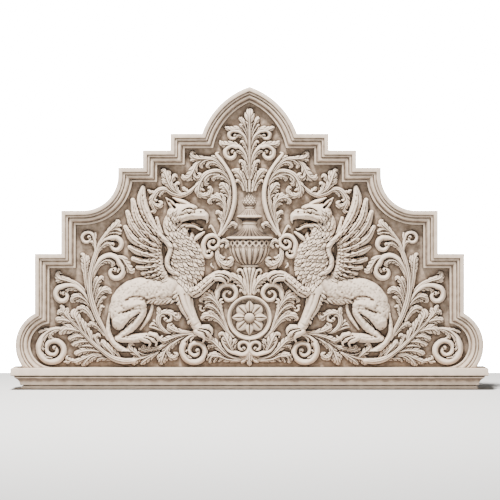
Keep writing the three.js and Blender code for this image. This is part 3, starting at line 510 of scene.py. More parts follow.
    # S scrolls beside the urn
    volute(0.2, [[30, 146, 1.6], [31.6, 151, 1.9], [36.4, 153.8, 2.1], [42.4, 151.6, 2.3],
        [46, 145, 2.4]], [40.4, 136.4], [5.0, 2.2], [15, -245], [2.3, 1.3])
    volute(0.4, [[30.2, 148.4, 1.5], [31.2, 143.6, 1.9]], [37, 145.4], [5.2, 2.6], [208, 470], [1.9, 1.4])
    rib(0.4, [44, 139, 1.2], [42.6, 137, 1.2], [41.6, 138.4, 0.8])
    rib(0.3, [31.4, 146, 1.3], [28.4, 147.4, 1.7], [24.4, 148.4, 1.6], [21.6, 145.2, 1.6], [23.4, 142, 1.2])
    rib(0.3, [30, 144, 1.2], [28, 142.6, 1.3], [26.6, 144.6, 1.0])
    rib(0.1, [31, 142.6, 1.5], [32.2, 135.6, 2.4], [29.6, 128, 3.0], [23.4, 124.2, 3.0],
        [18.4, 126.8, 2.0], [18, 130.6, 1.6], [20.6, 130.8, 1.0])
    rib(0.4, [29.6, 134, 1.2], [27, 131.4, 1.3], [25, 131.8, 0.8])
    rib(0.3, [27.4, 155, 1.3], [22, 162, 1.5], [17.4, 165.4, 1.7], [13.6, 164.2, 1.4], [14.4, 161.4, 0.9])
    rib(0.2, [34, 155.4, 1.2], [36.4, 160, 1.2], [38.6, 163, 1.3], [40.6, 161.4, 0.8])
    rib(0, [36, 121.4, 0.8], [38.2, 123.6, 1.0], [38, 126, 0.7])


def rosette_fronds(rib, volute, ridge, drill):
    # leaves that climb round the rosette to the lifted paw
    rib(0, [16, 52.4, 1.4], [23, 59.4, 1.9], [29, 67.4, 2.3], [36, 72.8, 3.0], [43, 73.8, 2.8],
        [46.6, 71, 1.8], [45, 69.2, 1.0])
    rib(0.3, [32, 72, 1.6], [36.6, 77, 1.8], [40.6, 77, 1.3])
    rib(0.3, [33, 70.6, 1.4], [38.4, 70.8, 1.6], [40.6, 69.4, 1.0])
    rib(0.1, [22, 59.6, 1.5], [28, 73, 2.1], [34, 80.8, 2.5], [40, 84, 2.3], [43.4, 83.2, 1.3])
    rib(0.1, [24, 62, 1.4], [28.6, 78, 2.0], [34, 87.6, 3.0], [40, 92, 3.0], [46, 91.6, 2.0],
        [48.8, 89, 1.4], [47, 87.4, 0.9])
    rib(0.3, [36, 88, 1.6], [41.6, 87.6, 1.6], [44, 86.4, 1.0])
    rib(0.3, [36, 89.6, 1.8], [40.4, 95, 1.8], [44.6, 95.4, 1.2])
    rib(0.3, [34, 88, 1.5], [36.6, 94.6, 1.7], [40, 98, 1.3], [38, 98.8, 0.8])
    rib(0.2, [27, 72, 1.2], [29, 81, 1.6], [28.8, 86.6, 1.5], [26.6, 86.6, 0.9])
    rib(0.2, [30, 82, 1.2], [29.4, 88.4, 1.3], [27, 90.4, 0.9])
    volute(0, [[26, 66, 1.4], [30.4, 76, 1.6], [33, 88, 2.1]], [21.2, 95.2], [11.4, 1.9], [-6, 490],
        [2.6, 1.3])
    rib(0.2, [31, 98, 1.5], [31.8, 102, 1.3], [31, 105.6, 0.8])
    volute(0, [[50, 84, 1.2]], [46.6, 80.6], [3.0, 1.4], [60, -200], [1.3, 0.9])
    # frond from the urn's foot to the lifted paw
    rib(0.1, [4.4, 96, 2.0], [5.8, 103, 2.9], [10.6, 109.4, 3.0], [17.4, 113.2, 2.4])
    rib(0.3, [9, 106, 1.5], [13, 107.8, 1.4], [15.4, 107.2, 0.8])
    rib(0.3, [7, 102, 1.4], [10.4, 104.4, 1.3], [12.4, 103.8, 0.8])
    rib(0.3, [6, 97, 1.3], [8.6, 99.6, 1.2], [9.4, 97.6, 0.8])
    rib(0.3, [12, 110, 1.4], [17, 110.6, 1.3], [19, 109.6, 0.8])


def plume(rib, volute, ridge, drill):
    # central plume over the urn: half of each pair of leaves
    rib(0.3, [0, 198, 1.2], [0, 211, 1.5], [0, 229, 1.8], [0, 249, 1.9], [0, 263, 2.4], [0, 271.6, 3.6],
        [0, 276, 3.2], [0, 279.8, 0.8])
    rib(0.2, [1.6, 253, 1.4], [4.4, 263, 1.9], [8.4, 270.4, 1.7])
    rib(0.2, [1.2, 249, 1.3], [4.2, 257, 1.7], [8.6, 264, 1.4])
    rib(0.1, [1, 245, 1.3], [2.6, 250, 1.4], [4.6, 255.6, 1.0])
    # upper pair of curls
    volute(0, [[1.6, 243, 1.4], [4.6, 252, 1.9], [10, 257, 2.3]], [16.2, 253.4], [5.2, 2.0], [118, -190],
        [2.4, 1.3])
    rib(0.2, [5, 253, 1.6], [11, 259.8, 2.0], [19, 259.6, 2.2], [23.6, 261.6, 1.3])
    rib(0.3, [10, 258.6, 1.2], [13, 261, 1.2], [14.6, 261.8, 0.8])
    rib(0.2, [3, 246, 1.2], [7, 252.4, 1.5], [11, 253.8, 1.6], [13, 252, 0.9])
    rib(0.3, [1.2, 233, 1.4], [3.6, 242, 1.7], [7, 247.2, 1.5], [8.8, 245.4, 0.9])
    # lower pair of curls
    volute(0, [[1.4, 225, 1.5], [4.4, 235, 1.9], [10.4, 241.6, 2.4]], [18, 235.6], [7.8, 2.6],
        [125, -240], [2.8, 1.5])
    rib(0.2, [8, 240, 1.8], [15, 244.6, 2.2], [23, 244.4, 2.6], [27.4, 245.4, 2.0], [29.2, 247.6, 1.0])
    rib(0.4, [21.6, 238, 1.3], [21.4, 235.6, 1.2], [20.6, 235, 0.8])
    rib(0.2, [3, 228, 1.3], [7, 235.6, 1.7], [11.4, 238.2, 1.7], [13.8, 236.4, 1.0])
    rib(0.3, [1.4, 211, 1.8], [3.6, 219, 2.3], [5.8, 225.6, 2.0], [8.8, 227.8, 1.4], [9.6, 226, 0.8])
    rib(0.3, [3.4, 216, 1.2], [6, 219.4, 1.2], [6.6, 217.6, 0.8])
    # lowest pair of leaves
    rib(0, [2.6, 198, 1.3], [4.6, 203, 2.0], [7.6, 211, 2.6], [12, 217.2, 2.4], [16.4, 218.4, 1.3])
    rib(0.3, [7, 208, 1.5], [11, 212.4, 1.5], [14, 213.6, 0.9])
    rib(0.3, [5.6, 199, 1.3], [8, 206, 1.6], [11.6, 208.6, 1.4], [13, 207.4, 0.9])
    rib(0.3, [9, 214.6, 1.4], [11.6, 218.8, 1.4], [10, 219.6, 0.8])
    rib(0.2, [3, 202, 1.2], [4.6, 210, 1.4], [6.4, 216, 1.0])
    # calyx that carries the urn
    ridge(0.4, [0.9, 95, 1.5], [1.3, 104, 1.8], [2.2, 112, 2.3], [3.6, 118, 2.6], [4, 120.4, 2.4])
    ridge(0.6, [2, 97, 1.0], [3.4, 106, 1.3], [5.2, 113, 1.6], [7.6, 118.2, 1.8], [10.4, 119.4, 1.6],
        [11.8, 117.4, 1.2], [10.8, 116, 0.8])
    ridge(0.6, [0, 95, 1.0], [0, 106, 1.5], [0, 114, 2.2], [0, 120, 2.8])
    drill(8.9, 117, 1.1)
    # drop leaf on the centre line
    rib(0.4, [0, 38, 1.6], [0, 31, 2.2], [0, 26, 1.8], [0, 23.6, 0.7])
    rib(0.3, [1.4, 35, 1.2], [3.4, 30, 1.4], [7.4, 27.4, 1.3])
    rib(0.2, [0, 49, 1.2], [0, 40, 0.9])


def griffin_body(limb):
    limb(8.6, [74.6, 177, 5.8], [75, 164, 11.8], [70, 149, 16], [65, 134, 18.4], [63, 119, 18.2],
        [68, 106, 15])
    limb(9, [66, 108, 13], [84, 99, 14.6], [104, 98.4, 14.4], [118, 94, 14.5], [126, 87, 13])
    limb(10, [122, 88, 13], [126, 80, 14.6], [127.6, 74, 13.4], [129, 68, 9.6])
    limb(5.6, [97, 86, 1.6], [98, 79, 2], [100.6, 72, 2.2], [105, 65.6, 1.8], [109, 60, 1.2])
    # tail, behind the haunch
    limb(11, [140, 76, 1], [141, 66, 2.2], [140.8, 57, 2.7], [138, 50, 3.2], [133, 44.4, 3.6],
        [126, 38.8, 3.8], [119.4, 37, 2.6])


def hind_leg(limb):
    # thigh drawn forward over the belly, the muscle under it, shin, and the long foot
    limb(12.4, [122, 83.6, 8.2], [115, 84.6, 7.4], [108.4, 84.4, 6.2])
    limb(11.8, [108, 80, 4.4], [114, 77.6, 6], [121, 73.6, 7.4], [127, 69, 8.4], [130.2, 68, 8.2])
    limb(11, [106.2, 80, 4], [107.6, 75.4, 4.4], [111.8, 69, 4.7], [117.6, 62.4, 4.9], [124, 56.6, 4.7],
        [129, 52.4, 3.8])
    limb(10.4, [131, 50.6, 4.2], [124, 50.8, 4.7], [114, 51.2, 5], [105, 51.8, 4.8], [97, 52.6, 4.2],
        [93.6, 52.8, 3])


def griffin_forelegs(limb):
    limb(12.6, [67, 99, 10], [65, 90, 9], [62.6, 82, 7.6], [59, 75, 6.2], [55.6, 68, 5.4],
        [51.6, 61.6, 5.2], [47, 58.4, 4.8], [42.6, 58, 4])
    limb(12.5, [62, 98, 6.4], [54, 97.6, 6.2], [46, 103.4, 5.6], [38, 110.4, 5], [31, 114.6, 4.4],
        [25.4, 113.6, 3.8])


def griffin_head(limb):
    # skull, cheek, the hooked beak, the soft cere over it, and the heavy brow
    limb(12, [77, 175, 5.8], [72, 177, 9.4], [65, 178.6, 8.8], [58.6, 178.6, 6.8])
    limb(12.6, [74, 170.4, 6], [67, 171.8, 5.8], [60, 173.4, 4.6])
    limb(13.2, [62, 174, 5.4], [54, 174.2, 5], [48, 174.2, 5], [45, 173.2, 4.4], [43, 170.6, 2.6],
        [42.2, 168.2, 1.4], [42.8, 166, 0.6])
    limb(14, [56.6, 177.2, 2.6], [51.4, 177.8, 2.7], [47, 177.4, 2.6], [45, 176.6, 1.4])
    limb(14.8, [54, 181.4, 2.2], [58, 182.4, 3], [63, 182.8, 3], [69, 181.2, 2.4])
    # ear, and the tuft that lies back in front of it
    limb(14.8, [74.4, 181.4, 2.6], [77.6, 184.8, 3.3], [80.8, 188.2, 2.1], [83.6, 191.6, 0.5])
    limb(12.6, [61, 185, 2], [66, 187, 2.6], [71, 188.8, 2.3], [76.6, 191.6, 0.6])


def griffin_face(relief, limb):
    # eye in its socket, nostril, the open mouth, the lines of the cheek and the slit of the ear
    relief.drill(60, 178, 3.0, 2.0)
    relief.dome(60.2, 178, 1.9, 1.5, 2.8, lift=10.2)
    relief.groove([[56, 179.4], [59, 180.8], [63, 180.2], [67, 177.8]], 0.9, 2.6)
    relief.groove([[57, 176], [60.4, 175.4], [64.4, 176]], 0.9, 1.0)
    relief.drill(48.4, 177.2, 1.2, 2.2)
    relief.groove([[44.6, 175.2], [48, 174.8], [52, 175], [56, 175.4]], 1.2, 0.8)
    relief.groove([[53.2, 182], [54.6, 179.4], [54.6, 176.4]], 1.2, 1.3)
    relief.groove([[44.8, 168], [49, 168.6], [54, 168], [59, 166.6]], 1.7, 14)
    relief.groove([[45, 165.2], [49.6, 165], [54, 165.4], [57, 165.6]], 1.9, 14)
    relief.groove([[43.6, 162.4], [47, 162.4], [51, 163.4]], 1.7, 14)
    limb(11.4, [69, 163.6, 4], [63, 163.8, 3], [58.4, 163.8, 2.2], [54, 162.6, 1.8], [50.4, 160.2, 1.8],
        [47.6, 159.6, 1.2], [46.4, 161, 0.5])
    limb(9, [57.4, 166, 1.1], [53.4, 164.6, 1.0], [50.6, 163, 0.7])
    relief.groove([[51, 157.4], [54.6, 159.2], [58, 159.4], [60.2, 157.2], [60.4, 153.6]], 2.3, 3.4)
    for line, half, depth in (
            ([[56, 172.6], [60, 171.8], [65, 170.4], [70, 167.4], [74, 163]], 1.1, 0.9),
            ([[60, 168.6], [64.6, 167], [69, 163.6], [73, 158.8]], 1.0, 1.3),
            ([[61, 164.8], [65, 162.6], [69, 158.6]], 1.0, 1.2),
            ([[66, 174.4], [71, 173], [75.6, 169.6]], 1.1, 0.8)):
        relief.groove(line, half, depth)
    relief.groove([[74.4, 181.4], [77.2, 184.2], [80.6, 187.8]], 1.7, 5)
    limb(12.4, [77.4, 180.6, 0.8], [79.8, 184, 1.1], [82, 188.2, 0.7])
    relief.groove([[70, 185.6], [73, 187.4], [76.4, 190]], 0.8, 1.4)


def griffin_muscles(relief):
    # soft lines between the muscles of the hind leg, and the belly under the ribs
    for line, half, depth in (
            ([[76, 92.4], [86, 91.8], [94, 91.4], [101, 90]], 1.8, 0.5),
            ([[103, 89.4], [107, 92.2], [112, 93], [118, 91.8], [123, 89]], 1.8, 1.1),
            ([[107.6, 83.4], [112, 83.4], [118, 80.8], [124, 77.6], [130, 76]], 1.7, 1.0),
            ([[111, 75], [115.4, 72.4], [119, 69.4], [123, 64.6], [125.6, 60.4]], 1.1, 2.0),
            ([[110.8, 74.6], [114.4, 69.2], [119, 63], [125.4, 56.8]], 1.2, 0.7),
            ([[127, 52], [120, 51.4], [112, 52]], 1.2, 0.8)):
        relief.groove(line, half, depth)


def foreleg_lines(relief):
    for line, half, depth in (
            ([[70.6, 94], [68.4, 87], [65.6, 80], [61.8, 73], [59.6, 66]], 1.1, 1.5),
            ([[64.6, 95], [63, 88], [60, 80], [56.4, 72]], 1.4, 1.2),
            ([[58.4, 92], [57.8, 84], [56, 76]], 1.1, 0.9),
            ([[56, 93.4], [49, 97.6], [42, 103.8], [35.4, 109]], 1.1, 1.9),
            ([[58, 97.4], [51.6, 99.6], [45, 105.6], [38.6, 111.2]], 1.0, 1.5)):
        relief.groove(line, half, depth)


def fur_fringes(rib):
    # the tuft under the jaw, tufts behind the standing leg (root x and z, and reach), then along the belly
    rib(1.2, [45.4, 157, 1.2], [49, 154.4, 2.0], [52.6, 151.4, 2.2], [54.6, 149, 1.6])
    for x, z, dx, dz in ((75, 96.6, 3.4, -2.2), (74.6, 92.8, 3.4, -2.4), (72, 90, 3, -2.6),
                         (70.6, 86.4, 2.8, -2.6), (68.4, 83.2, 2.8, -2.6), (66, 79.6, 2.6, -2.8),
                         (63.6, 76, 2.2, -3), (61.4, 72, 1.6, -3.4), (60.4, 67.8, 1, -3.6)):
        rib(2.7, [x - 2.4, z + 2, 1.8], [x - 0.6, z, 2.0], [x + 0.45 * dx, z + 0.55 * dz, 0.7])
    for x in range(77, 102, 4):
        rib(1.5, [x - 3, 89.8, 1.2], [x - 0.6, 88, 1.3], [x + 1.6, 86, 0.6])


def griffin_feathers(plume):
    # overlapping rows of long pointed feathers that stream back down the neck and the chest
    chance = np.random.default_rng(5)
    heights = [101, 110, 117, 125, 133, 141, 149, 155, 163, 171, 182]
    for z in np.linspace(182, 106, 21):
        left = np.interp(z, heights, [53, 48.6, 46.4, 46.2, 48, 52, 56, 60.6, 66, 68, 70])
        right = np.interp(z, heights, [62, 71, 79, 84, 82.6, 80.4, 86, 86, 85.4, 83.4, 79])
        size = np.interp(z, [101, 125, 140, 155, 172], [2.2, 2.4, 2.3, 2.0, 1.7])
        lean = np.interp(z, [100, 112, 124, 146, 160, 174, 182], [-0.1, -0.5, -1.2, -1.4, -0.7, 0, 0.6])
        for x in np.arange(left + chance.uniform(0, 2.4), right, size * 2.1):
            turn = lean + chance.uniform(-0.12, 0.12)
            reach = size * 3.6 / np.hypot(turn, 1)
            plume(x, z + chance.uniform(-1.4, 1.4), reach * turn, -reach, size)


def wing(limb, rib, plume):
    # the arm of the wing, flight feathers from the upper ones to the lower, then three rows of coverts
    limb(6.8, [88, 153, 3], [93, 147, 6.4], [96, 139, 8.6], [95, 129, 9], [91, 120, 8], [84, 112.6, 5])
    for lift, feather_points in (
            (0.9, [[86, 150, 3.32], [94.6, 160, 4.48], [103, 174, 5.17], [107.6, 189, 4.94],
                [106.4, 201.6, 2.39]]),
            (0.8, [[91, 147, 3.32], [103, 158, 4.48], [112, 171, 4.94], [116.6, 189, 2.39]]),
            (0.7, [[94, 143, 3.32], [106, 151, 4.24], [116, 163, 4.48], [122, 177, 2.39]]),
            (0.7, [[93, 139, 3.32], [106, 144, 4.24], [116.6, 151, 4.48], [124, 162, 2.39]]),
            (0.6, [[92, 132, 3.32], [103, 135.4, 4.01], [112, 138.4, 4.13], [119.6, 142, 2.39]]),
            (0.6, [[91, 127.6, 3.08], [104, 127.6, 3.78], [116, 130.4, 2.62]]),
            (0.5, [[91, 123.4, 2.85], [102, 121.8, 3.66], [111.4, 122, 2.5]]),
            (0.5, [[90, 119.6, 2.62], [99, 117, 3.32], [106.6, 116, 2.27]]),
            (0.5, [[88, 117, 2.39], [96, 113.6, 3.08], [103, 112, 2.16]]),
            (0.5, [[86, 114, 2.39], [93, 110.8, 2.97], [99, 108.8, 2.16]]),
            (0.5, [[83, 111, 2.62], [88.6, 108, 3.08], [93.6, 106.2, 2.27]]),
            (0.5, [[78, 108, 2.85], [82.6, 105.8, 3.2], [87, 104.2, 2.27]]),
            (0.6, [[86, 153, 2.16], [90.6, 161, 2.74], [92.6, 171, 1.81]])):
        rib(lift, *feather_points)
    for x, z, dx, dz, size in (
            (94, 155, 12, 11, 3.0), (96.6, 150, 12, 8.6, 3.1), (97.6, 144.6, 11.6, 6, 3.1),
            (97.4, 139, 11.4, 4, 3.0), (96.6, 133.6, 11, 2, 2.8), (95.8, 128.6, 10, 0.6, 2.7),
            (94.6, 124, 9, -0.8, 2.6), (92.6, 119.8, 8, -2, 2.5), (89.6, 116.2, 7, -2.6, 2.4),
            (86, 113.2, 6, -3, 2.3), (82, 111, 5, -3, 2.1), (89, 151.6, 8, 8, 2.5),
            (91, 147, 8.4, 6.4, 2.6), (92, 142.4, 8.4, 4.6, 2.6), (92, 137.6, 8.2, 3, 2.5),
            (91.6, 133, 8, 1.6, 2.4), (91, 128.6, 7.6, 0.2, 2.4), (90, 124.2, 7, -1, 2.3),
            (88.4, 120, 6.4, -2, 2.2), (86, 116.6, 5.6, -2.4, 2.1), (82.6, 114, 5, -2.6, 2.0)):
        plume(x, z, dx, dz, size)
    for column in range(2):
        for z in np.arange(151 - column, 114 + column, -3.3 + 0.3 * column):
            x = np.interp(z, [113, 120, 130, 140, 150, 154], [83, 86.6, 88.6, 87.6, 86.6, 87]) - 3 * column
            rise = np.interp(z, [113, 122, 132, 142, 152], [-0.5, -0.15, 0.15, 0.45, 0.8])
            plume(x, z, 5, 5 * rise, 1.9)


def wing_edge(limb):
    # the thick bend of the wing, from the shoulder up to the root of the flight feathers
    limb(13.6, [92, 158, 1.4], [86.6, 151.6, 2.8], [80.8, 145.6, 3.6], [78.6, 140, 3.7], [79.8, 134.6, 3.2],
         [81.8, 129, 3.1], [81.4, 123, 3.2], [77.4, 118, 3.2], [69, 114.6, 2.4])


def griffin_claws(rib, knuckle):
    # each toe: root, knuckle, then the claw that hooks down from it
    for toe in (
            ([29, 115.2, 2.6], [25.4, 116, 2.6], [21.2, 114.8, 2.2], [18.8, 112, 1.7], [19.2, 109, 0.7]),
            ([31, 113, 2.4], [26.6, 113.2, 2.2], [22.8, 112, 1.9], [21, 109.4, 1.2], [21.6, 107, 0.6]),
            ([34, 110.8, 2.8], [29.6, 111.2, 3.0], [26, 109.8, 2.7], [23.8, 106.8, 1.2], [24.8, 104, 0.6]),
            ([46, 62, 2.6], [41.6, 62, 2.5], [38.4, 59.4, 1.9], [37.6, 55.4, 0.8]),
            ([47, 59, 2.6], [41.8, 56.4, 2.7], [39, 53, 1.3], [39.8, 49.4, 0.6]),
            ([53, 58, 3.0], [48.6, 55.6, 3.2], [45.2, 51.6, 1.5], [46.4, 47.6, 0.6]),
            ([99, 55, 2.4], [94, 53.8, 2.3], [91.6, 50.8, 1.6], [91.8, 48.2, 0.7]),
            ([101, 52, 2.6], [96.4, 49.8, 2.5], [93, 46.8, 1.2], [93.6, 43.8, 0.6]),
            ([108, 51.6, 3.0], [103, 49.6, 3.2], [99.4, 46.6, 1.4], [100.2, 43, 0.6])):
        rib(2.6, *toe)
        knuckle(*toe[1])


def paw_lines(relief):
    # the gaps between the toes, and the folds of the wrists
    for line, half, depth in (
            ([[34, 115], [28.6, 115.4], [23.6, 113.8], [20.4, 110.6]], 0.8, 2.2),
            ([[34, 112.4], [28.8, 112.8], [24.8, 110.8], [22.8, 107.4]], 0.8, 2.4),
            ([[50, 60.8], [42.6, 59.6], [38.8, 56.4]], 0.8, 2.2),
            ([[51, 59], [45.6, 57.6], [42.4, 54]], 0.8, 2.4),
            ([[103, 53.8], [96.4, 52], [92.6, 49]], 0.8, 2.2),
            ([[105, 51.8], [99.6, 49.8], [96.4, 46.4]], 0.8, 2.4),
            ([[38.4, 115.4], [36.6, 111.4], [37, 107]], 1.2, 1.1),
            ([[51, 66.4], [54.4, 64.4], [58, 64.2]], 1.2, 1.1)):
        relief.groove(line, half, depth)


# Meshes

def new_object(name, points, quads=(), triangles=(), sharp=45.0, painted_shade=None):
    """A closed mesh object from arrays, shaded smooth but for arrises sharper than the given angle."""
    quads = np.asarray(quads, dtype=np.int32).reshape(-1, 4)
    triangles = np.asarray(triangles, dtype=np.int32).reshape(-1, 3)
    mesh = bpy.data.meshes.new(name)
    mesh.vertices.add(len(points))
    mesh.vertices.foreach_set("co", np.asarray(points, dtype=np.float32).ravel())
    corners = np.concatenate([quads.ravel(), triangles.ravel()])
    mesh.loops.add(len(corners))
    mesh.loops.foreach_set("vertex_index", corners)
    starts = np.concatenate([np.arange(len(quads)) * 4, len(quads) * 4 + np.arange(len(triangles)) * 3])
    mesh.polygons.add(len(starts))
    mesh.polygons.foreach_set("loop_start", starts.astype(np.int32))
    mesh.update(calc_edges=True)
    mesh.polygons.foreach_set("use_smooth", np.ones(len(starts), dtype=bool))
    mesh.set_sharp_from_angle(angle=np.radians(sharp))
    # the painted_shade point attribute: 0 gives the painted highlight colour of the crests, 1 the painted shade
    # of the pits
    if painted_shade is not None:
        mesh.attributes.new("painted_shade", "FLOAT", "POINT").data.foreach_set("value", painted_shade.astype(np.float32))
    piece = bpy.data.objects.new(name, mesh)
    bpy.context.scene.collection.objects.link(piece)
    return piece


def finish_piece(piece, material):
    """Gives a piece its stone and hangs it on the one body of the object. Faces that look up are painted
    lighter, and faces that look down are painted with shade."""
    shade_level = np.empty(len(piece.data.vertices), dtype=np.float32)
    normal = np.empty((len(shade_level), 3), dtype=np.float32)
    piece.data.attributes["painted_shade"].data.foreach_get("value", shade_level)
    piece.data.vertex_normals.foreach_get("vector", normal.ravel())
    # painted light on the faces that look up, painted shade on the faces that look down
    piece.data.attributes["painted_shade"].data.foreach_set("value", np.clip(shade_level - FACING_LIGHT_AND_SHADE * normal[:, 2], 0, 1))
    piece.data.materials.clear()
    piece.data.materials.append(material)
    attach(piece, "root")
    return piece


def blurred(sheet, radius):
    """A Gaussian blur of a height sheet, its radius in cells."""
    kz = np.fft.fftfreq(sheet.shape[0])[:, None]
    kx = np.fft.rfftfreq(sheet.shape[1])[None]
    spread = np.exp(-2 * (np.pi * radius) ** 2 * (kz ** 2 + kx ** 2))
    return np.fft.irfft2(np.fft.rfft2(sheet) * spread, sheet.shape)


def painted_shade_of(relief, painted_darkness=0.0):
    """The painted shade of each point, from how far it lies below what stands round it: 0, a painted highlight,
    on the crests, EVEN on level stone, 1 in the pits. The carving that stands out most gets the least painted
    shade."""
    h = np.maximum(relief.h, 0)
    # painted shade: more where the relief is low and in hollows below the blurred surface round them, plus the
    # painted_darkness given for the whole sheet
    low_relief_shade = 0.024 * (7.5 - h)
    wide = (blurred(h, 2.2 / relief.step) - h) / 5
    near = (blurred(h, 0.7 / relief.step) - h) / 1.4
    return np.clip(EVEN + painted_darkness + low_relief_shade + 0.75 * wide + near, 0, 1)


def carved_object(name, relief, mirror=False, painted_shade=None):
    """The part of a height sheet that stands above its floor, as one closed body per island of carving."""
    solid = relief.h > FLOOR + 0.05
    cells = solid[:-1, :-1] | solid[1:, :-1] | solid[:-1, 1:] | solid[1:, 1:]
    for _ in range(3):
        pinch = cells[:-1, :-1] & cells[1:, 1:] & ~cells[1:, :-1] & ~cells[:-1, 1:]
        cells[1:, :-1] |= pinch
        pinch = ~cells[:-1, :-1] & ~cells[1:, 1:] & cells[1:, :-1] & cells[:-1, 1:]
        cells[:-1, :-1] |= pinch
    columns = relief.h.shape[1]
    j, i = np.nonzero(cells)
    corner = j * columns + i
    quads = np.stack([corner, corner + 1, corner + columns + 1, corner + columns], axis=1)
    used, packed = np.unique(quads, return_inverse=True)
    quads = packed.reshape(-1, 4)
    heights = relief.h.ravel()[used].copy()
    xs = relief.x[used % columns]
    zs = relief.z[used // columns]

    sides = np.concatenate([quads[:, [k, (k + 1) % 4]] for k in range(4)])
    keys = np.sort(sides, axis=1)
    _, first, counts = np.unique(keys, axis=0, return_index=True, return_counts=True)
    rim = sides[first[counts == 1]]
    rim_points, rim_edges = np.unique(rim, return_inverse=True)
    heights[rim_points] = FLOOR
    flat = [Vector((float(x), float(z))) for x, z in zip(xs[rim_points], zs[rim_points])]
    result = delaunay_2d_cdt(flat, [tuple(edge) for edge in rim_edges.reshape(-1, 2).tolist()], [], 0, 1e-5,
                             True)
    origin = np.array([sources[0] for sources in result[3]])
    caps = rim_points[origin[np.array(result[2], dtype=np.int64).reshape(-1, 3)]]
    middle_i = ((xs[caps].mean(axis=1) - relief.x[0]) / relief.step).astype(int)
    middle_j = ((zs[caps].mean(axis=1) - relief.z[0]) / relief.step).astype(int)
    caps = caps[cells[middle_j, middle_i]]

    points = np.stack([xs * SQUARE, GROUND - heights * SQUARE, zs * SQUARE], axis=1)
    caps = caps[:, ::-1]
    if mirror:
        points[:, 0] *= -1
        quads = quads[:, ::-1]
        caps = caps[:, ::-1]
    shade_level = painted_shade_of(relief) if painted_shade is None else painted_shade
    return new_object(name, points, quads, caps, sharp=60, painted_shade=shade_level.ravel()[used])


def arc(cx, cz, radius, start, end, steps):
    """Points along part of a circle, its angles in degrees."""
    angles = np.radians(np.linspace(start, end, steps + 1))
    return [(cx + radius * np.cos(a), cz + radius * np.sin(a)) for a in angles]


def panel_outline(distance):
    """The panel's outline in millimetres, moved inward by a distance, anticlockwise from the right lobe's
    foot."""
    lobe_x, lobe_z, lobe_r = LOBE
    cove_x, cove_z, cove_r = COVE
    head_x, head_z = OGEE
    lobe_end = np.degrees(np.arccos((STEPS[0][0] - distance - lobe_x) / (lobe_r - distance)))
    head_r = np.hypot(head_x, APEX / MM - head_z) - distance
    low = np.degrees(np.arcsin((UPPER_STEPS[-1][1] - distance - head_z) / head_r))
    high = np.degrees(np.arccos(-head_x / head_r))
    right = arc(lobe_x, lobe_z, lobe_r - distance, -90, lobe_end, 40)
    right += [(x - distance, z - distance) for x, z in STEPS]
    right += arc(cove_x, cove_z, cove_r + distance, -90, -180, 24)
    right += [(x - distance, z - distance) for x, z in UPPER_STEPS]
    right += arc(head_x, head_z, head_r, low, high, 28)
    left = [(-x, z) for x, z in right[-2::-1]]
    return np.array(right + left)


def rings_to_quads(rings, count):
    """Quads that skin a stack of closed rings, each of count points."""
    i, j = np.meshgrid(np.arange(rings - 1), np.arange(count), indexing="ij")
    a = (i * count + j).ravel()
    b = (i * count + (j + 1) % count).ravel()
    return np.stack([a, b, b + count, a + count], axis=1)


def cap_ring(points, ring):
    """Triangles that close a flat ring, turned the same way as the ring runs."""
    flat = [Vector((float(x), float(z), 0)) for x, z in points]
    triangles = np.array(tessellate_polygon([flat]))
    a, b, c = (np.asarray(points)[triangles[:, k]] for k in range(3))
    turn = (b[:, 0] - a[:, 0]) * (c[:, 1] - a[:, 1]) - (b[:, 1] - a[:, 1]) * (c[:, 0] - a[:, 0])
    triangles[turn < 0] = triangles[turn < 0][:, ::-1]
    return ring[triangles]


# Pieces

def section_painted_shade(section):
    """The painted shade on each arris of a moulding, from how far it lies below the higher ones within 6
    mm."""
    across, height = np.array(section, dtype=float).T
    near = np.array([height[np.abs(across - a) < 6].max() for a in across])
    return np.clip(EVEN - 0.15 + (near - height) / 24, 0, 0.6)


def framed_slab(material):
    """The stone itself: slab, sunk ground and the mitred frame moulding, with the bed cut off level."""
    count = len(panel_outline(0))
    rings = [(0, BACK)] + [(d, GROUND - height * MM) for d, height in FRAME_SECTION]
    points = []
    for distance, y in rings:
        ring = panel_outline(distance)
        points.append(np.stack([ring[:, 0] * MM, np.full(count, y), ring[:, 1] * MM], axis=1))
    last = (len(rings) - 1) * count
    # the rings run the other way round seen from the front, so the skin faces out as it stands
    quads = rings_to_quads(len(rings), count)
    front = cap_ring(points[-1][:, [0, 2]], np.arange(count) + last)
    back = cap_ring(points[0][:, [0, 2]], np.arange(count))[:, ::-1]
    # painted shade on the lower arrises of the frame moulding, none on the back ring
    shade_level = np.repeat(np.concatenate([[0], section_painted_shade(FRAME_SECTION)]), count)
    slab = new_object("slab_and_frame", np.concatenate(points), quads, np.concatenate([front, back]),
                      sharp=32, painted_shade=shade_level)
    cut_level(slab, BED)
    finish_piece(slab, material)
    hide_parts("carved_panel")
    return slab


def cut_level(piece, height):
    """Cuts a piece off at a level and closes the cut."""
    work = bmesh.new()
    work.from_mesh(piece.data)
    everything = work.verts[:] + work.edges[:] + work.faces[:]
    cut = bmesh.ops.bisect_plane(work, geom=everything, plane_co=(0, 0, height), plane_no=(0, 0, 1),
                                 clear_inner=True, dist=1e-6)
    rim = [item for item in cut["geom_cut"] if isinstance(item, bmesh.types.BMEdge)]
    bmesh.ops.holes_fill(work, edges=rim, sides=0)
    bmesh.ops.recalc_face_normals(work, faces=work.faces[:])
    work.to_mesh(piece.data)
    work.free()


